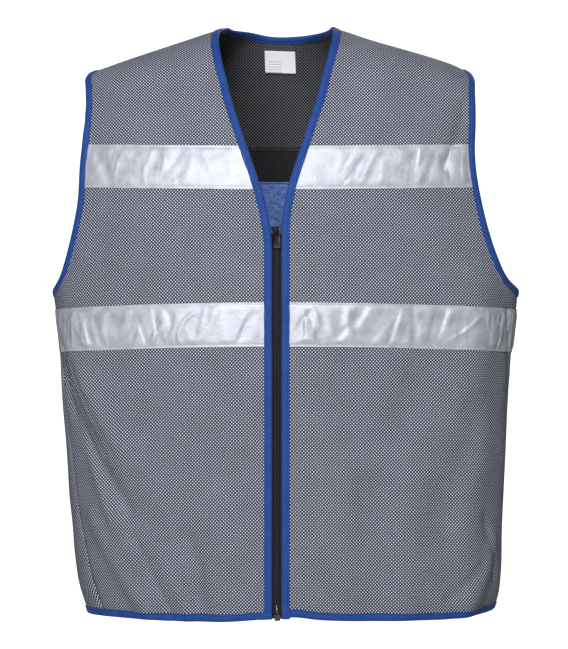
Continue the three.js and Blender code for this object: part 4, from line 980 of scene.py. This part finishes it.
for sign, word in ((1, "left"), (-1, "right")):
    z = np.linspace(footZ + zipParts["footTrim"], zipParts["top"], 300)
    x = sign * np.linspace(zipParts["tapeIn"], zipParts["tapeOut"], 12)[::sign]
    x, z = np.meshgrid(x, z)
    points, normal = besideZip(x, z)
    piece = gridSheet(f"zip_tape_{word}_woven", points + normal * zipParts["tapeBack"], x, z, zipCloth, "zip_tape",
                      f"{word}_zip_tape", zipParts["tapeWall"])
    loops = int((zipParts["top"] - coilFoot - zipParts["coilStop"]) / zipParts["coilPitch"])
    turn = np.arange(loops * zipParts["loopSteps"] + 1) * 2 * math.pi / zipParts["loopSteps"]
    half, flare = (zipParts["coilOut"] - zipParts["coilIn"]) / 2, zipParts["flare"]
    across = zipParts["coilIn"] + half - half * np.cos(turn) * (1 + flare * np.cos(turn) ** 2) / (1 + flare)
    z = coilFoot + zipParts["coilPitch"] * (turn / (2 * math.pi) + (0.5 if sign > 0 else 0))
    z = z + zipParts["slant"] * across * np.sign(np.sin(turn)) * np.abs(np.sin(turn)) ** 0.5
    points, normal = besideZip(sign * across, z)
    points = points + normal * (zipParts["coilMiddle"] + zipParts["coilHalfHeight"] * np.sin(turn))[:, None]
    solidPiece(f"zip_coil_{word}", [tube(points, zipParts["coilRadius"])], coilNylon, "zip_teeth",
               replaces=f"{word}_zip_teeth")
    # the row of thread that holds the coil down
    z = np.linspace(coilFoot, zipParts["top"] - zipParts["threadStop"], 400)
    points, normal = besideZip(np.full(400, sign * zipParts["threadOut"]), z)
    threadPiece(f"zip_stitching_{word}", [(points + normal * zipParts["threadBack"], normal)], darkThread, zipThread,
                "zip_tape")


def placer(z):
    # moves points from a frame on the zip's middle line (x across, -y out, z up the zip) to the vest's frame
    middle, _, up, _ = frameOn(np.zeros(1), np.array([z]))
    turn = np.array(Matrix.Rotation(math.atan2(-up[0][1], up[0][2]), 3, "X"))
    return lambda points: points @ turn.T + middle[0]


def roundedPlate(outline, front, back, soft, dish=0.0):
    # a flat part with softened edges: outline is (x, z) anticlockwise seen from the front, y runs inwards
    along = np.roll(outline, -1, 0) - np.roll(outline, 1, 0)
    side = unit(np.stack([along[:, 1], -along[:, 0]], 1))
    levels = [(2.6 * soft, front + dish), (1.7 * soft, front + dish * 0.6), (soft, front),
              (0.3 * soft, front + 0.3 * soft), (0, front + soft), (0, back - soft),
              (0.3 * soft, back - 0.3 * soft), (soft, back)]
    rings = [np.insert(outline - side * inset, 1, y, 1) for inset, y in levels]
    return np.concatenate(rings), capped(len(outline), len(levels), False)


def roundedOutline(corners, steps=5):
    # (x, z, radius) corners, anticlockwise, as a smooth outline
    out = []
    for i, (x, z, radius) in enumerate(corners):
        here = np.array([x, z])
        a, b = [here + unit(np.array(corners[k % len(corners)][:2]) - here) * radius for k in (i - 1, i + 1)]
        out += [(1 - t) ** 2 * a + 2 * t * (1 - t) * here + t * t * b for t in np.linspace(0, 1, steps)]
    return np.array(out)


def oblong(x0, x1, z0, z1, footRadius, topRadius, steps=5):
    return roundedOutline([(x0, z0, footRadius), (x1, z0, footRadius), (x1, z1, topRadius), (x0, z1, topRadius)],
                          steps)


slider = {"length": 12.5, "topWidth": 11.4, "footWidth": 8.3, "crownWidth": 2.1, "crownRadius": 0.55,
          "aboveV": 2.6, "topInset": 0.4, "flangeHalf": 0.45}
half, foot = slider["length"] / 2, slider["footWidth"] / 2
topRight = zipEdge - slider["topInset"]
topLeft = topRight - slider["topWidth"]
hinge = {"y": -2.05, "z": half - 4.2}
bodyOutline = roundedOutline([
    (-foot, -half, 1.2), (foot, -half, 1.2), (foot + 0.2, half * 0.1, 1.2), (topRight, half * 0.75, 0.8),
    (topRight, half - 0.4, 0.6), (2.6, half + 0.1, 0.8), (0, half - 1.0, 1.0), (-2.8, half + 0.1, 0.8),
    (topLeft, half - 0.4, 0.6), (topLeft, half * 0.75, 0.8), (-foot - 0.2, half * 0.1, 1.2)])
sliderParts = [roundedPlate(bodyOutline, -0.9, 0.4, 0.4, 0.12), roundedPlate(bodyOutline, 4.5, 5.7, 0.35),
               roundedPlate(oblong(-1.1, 1.1, 3.4, half - 1.2, 0.3, 0.4), -0.2, 5.0, 0.2)]
for x in (slider["flangeHalf"] - foot, foot - slider["flangeHalf"]):
    flange = oblong(x - slider["flangeHalf"], x + slider["flangeHalf"], 0.8 - half, 0.5, 0.2, 0.2)
    sliderParts.append(roundedPlate(flange, -0.3, 1.1, 0.2))
# the crown is an arch over the pull's bar: distances out and up from the hinge
arch = np.array([(0, y, hinge["z"] + z) for y, z in (
    (-0.7, 2.5), (-2.3, 2.3), (-3.35, 1.3), (-3.6, 0), (-3.6, -2.4), (-3.2, -4.2), (-2.2, -5.1), (-0.7, -5.3))])
archLine = [lerp(a, b, t) for a, b in zip(arch, arch[1:]) for t in (0, 0.25, 0.5, 0.75)] + [arch[-1]]
crown = tube(archLine, slider["crownRadius"], 20)
crown[0][:, 0] *= slider["crownWidth"] / (2 * slider["crownRadius"])
atSlider = placer(-vest["vDrop"] - half + slider["aboveV"])
solidPiece("zip_slider_cast", [*sliderParts, crown], paintedZinc, "zip_metal", atSlider, hard=True,
           replaces="zip_slider")

pull = {"armX": 2.2, "eye": 6.5, "length": 20.5, "width": 9.4, "wall": 1.5, "bar": 0.68, "ribHalf": 0.35}
loop = oblong(-pull["armX"], pull["armX"], -pull["eye"] - 0.6, 0, 0.5, 0.8, 6)
side, face, tabTop = pull["width"] / 2, pull["wall"] / 2, -pull["eye"] + 0.4
tab = roundedOutline([(-side, -pull["length"], 1.6), (side, -pull["length"], 1.6), (side, tabTop - 2.4, 1.0),
                      (2.9, tabTop, 0.8), (-2.9, tabTop, 0.8), (-side, tabTop - 2.4, 1.0)], 6)
ribs = [roundedPlate(oblong(-2.6, 2.6, z - pull["ribHalf"], z + pull["ribHalf"], 0.2, 0.2, 3), -face - 0.02, 0, 0.14)
        for z in np.arange(-pull["length"] + 3.2, tabTop - 3, 2.1)]
pullParts = [tube(np.insert(loop, 1, 0, 1), pull["bar"], 20, True), roundedPlate(tab, -face, face, 0.38, 0.22), *ribs]
solidPiece("zip_pull_tab", pullParts, paintedZinc, "zip_metal", atSlider, (0, hinge["y"], hinge["z"]), hard=True,
           replaces="zip_pull", body="zip_pull")

box = {"width": 6.8, "height": 6.2, "across": 0.7, "front": -1.9, "back": 2.45, "ribHalf": 0.4}
side, end = box["width"] / 2, box["height"] / 2
boxParts = [roundedPlate(oblong(-side, side, -end, end, 1.5, 0.5, 6), box["front"], box["back"], 0.45, 0.1)]
boxParts += [roundedPlate(oblong(x - box["ribHalf"], x + box["ribHalf"], -2.2, 2.6, 0.2, 0.2, 3), box["front"] - 0.05,
                          0, 0.15) for x in (-1.7, 0, 1.7)]
atFoot = placer(footZ + end)
solidPiece("zip_box_moulded", boxParts, greyAcetal, "zip_box_plastic", atFoot, (box["across"], 0, 0), hard=True,
           replaces="zip_box")
pin = roundedPlate(oblong(-0.8, 2.0, 3.2, 9.2, 0.3, 1.0), 0.4, 2.4, 0.35)
solidPiece("zip_pin_moulded", [pin], greyAcetal, "zip_box_plastic", atFoot, hard=True, replaces="zip_pin")
print("zip made")

# camera, lamps and floor, in metres and watts
studio = {
    "distance": 3.0, "cameraHeight": -0.376, "aimHeight": -0.3462, "aimAcross": 0.0081, "lens": 142.5, "sensor": 36,
    "lampAim": (0, 0, -0.35), "world": "#eef1f6", "worldPower": 0.06, "paint": "#c2c2c0", "paintRoughness": 0.9,
}
# place, size and power
lamps = {
    "keyLamp": ((-0.8, -3.3, 0.1), (1.1, 1.1), 56), "neckLamp": ((0.1, -2.9, 1.65), (1.3, 1.0), 66),
    "backLamp": ((0.6, 3.0, 1.6), (2.0, 1.6), 40),
}


def placeInScene(name, data, place, turn):
    made = bpy.data.objects.new(name, data)
    made.location = place
    made.rotation_euler = turn
    bpy.context.scene.collection.objects.link(made)
    return made


def lookAt(place, target):
    return (Vector(target) - Vector(place)).to_track_quat("-Z", "Y").to_euler()


lens = bpy.data.cameras.new("photoCamera")
lens.lens, lens.sensor_width, lens.clip_end = studio["lens"], studio["sensor"], 50
place = (studio["aimAcross"], -studio["distance"], studio["cameraHeight"])
aim = lookAt(place, (studio["aimAcross"], 0, studio["aimHeight"]))
bpy.context.scene.camera = placeInScene("photoCamera", lens, place, aim)
for name, (place, size, power) in lamps.items():
    data = bpy.data.lights.new(name, "AREA")
    data.shape = "RECTANGLE"
    data.size, data.size_y = size
    data.energy = power
    placeInScene(name, data, place, lookAt(place, studio["lampAim"]))

world = bpy.data.worlds.new("studioWorld")
bpy.context.scene.world = world
world.use_nodes = True
feed(world.node_tree, world.node_tree.nodes["Background"],
     {"Color": linear(studio["world"]), "Strength": studio["worldPower"]})

# the floor, and a glowing white backdrop standing behind the vest: side, place, tilt and glow
for name, side, place, tilt, glow in (("floor", 9, (0, 0, -1.16), 0, 0.0),
                                      ("backdrop", 1.75, (0, 3.2, -0.3), 90, 1.0)):
    material, tree = newMaterial(name + "Paint")
    feed(tree, tree.nodes["Principled BSDF"],
         {"Base Color": linear(studio["paint"]), "Roughness": studio["paintRoughness"],
          "Emission Color": (1, 1, 1, 1), "Emission Strength": glow})
    mesh = bpy.data.meshes.new(name)
    corners = [(x * side / 2, y * side / 2, 0) for x, y in ((-1, -1), (1, -1), (1, 1), (-1, 1))]
    mesh.from_pydata(corners, [], [(0, 1, 2, 3)])
    mesh.materials.append(material)
    made = placeInScene(name, mesh, place, (math.radians(tilt), 0, 0))
bpy.context.scene.view_settings.view_transform = "Standard"
bpy.context.scene.view_settings.look = "None"
print("studio made")
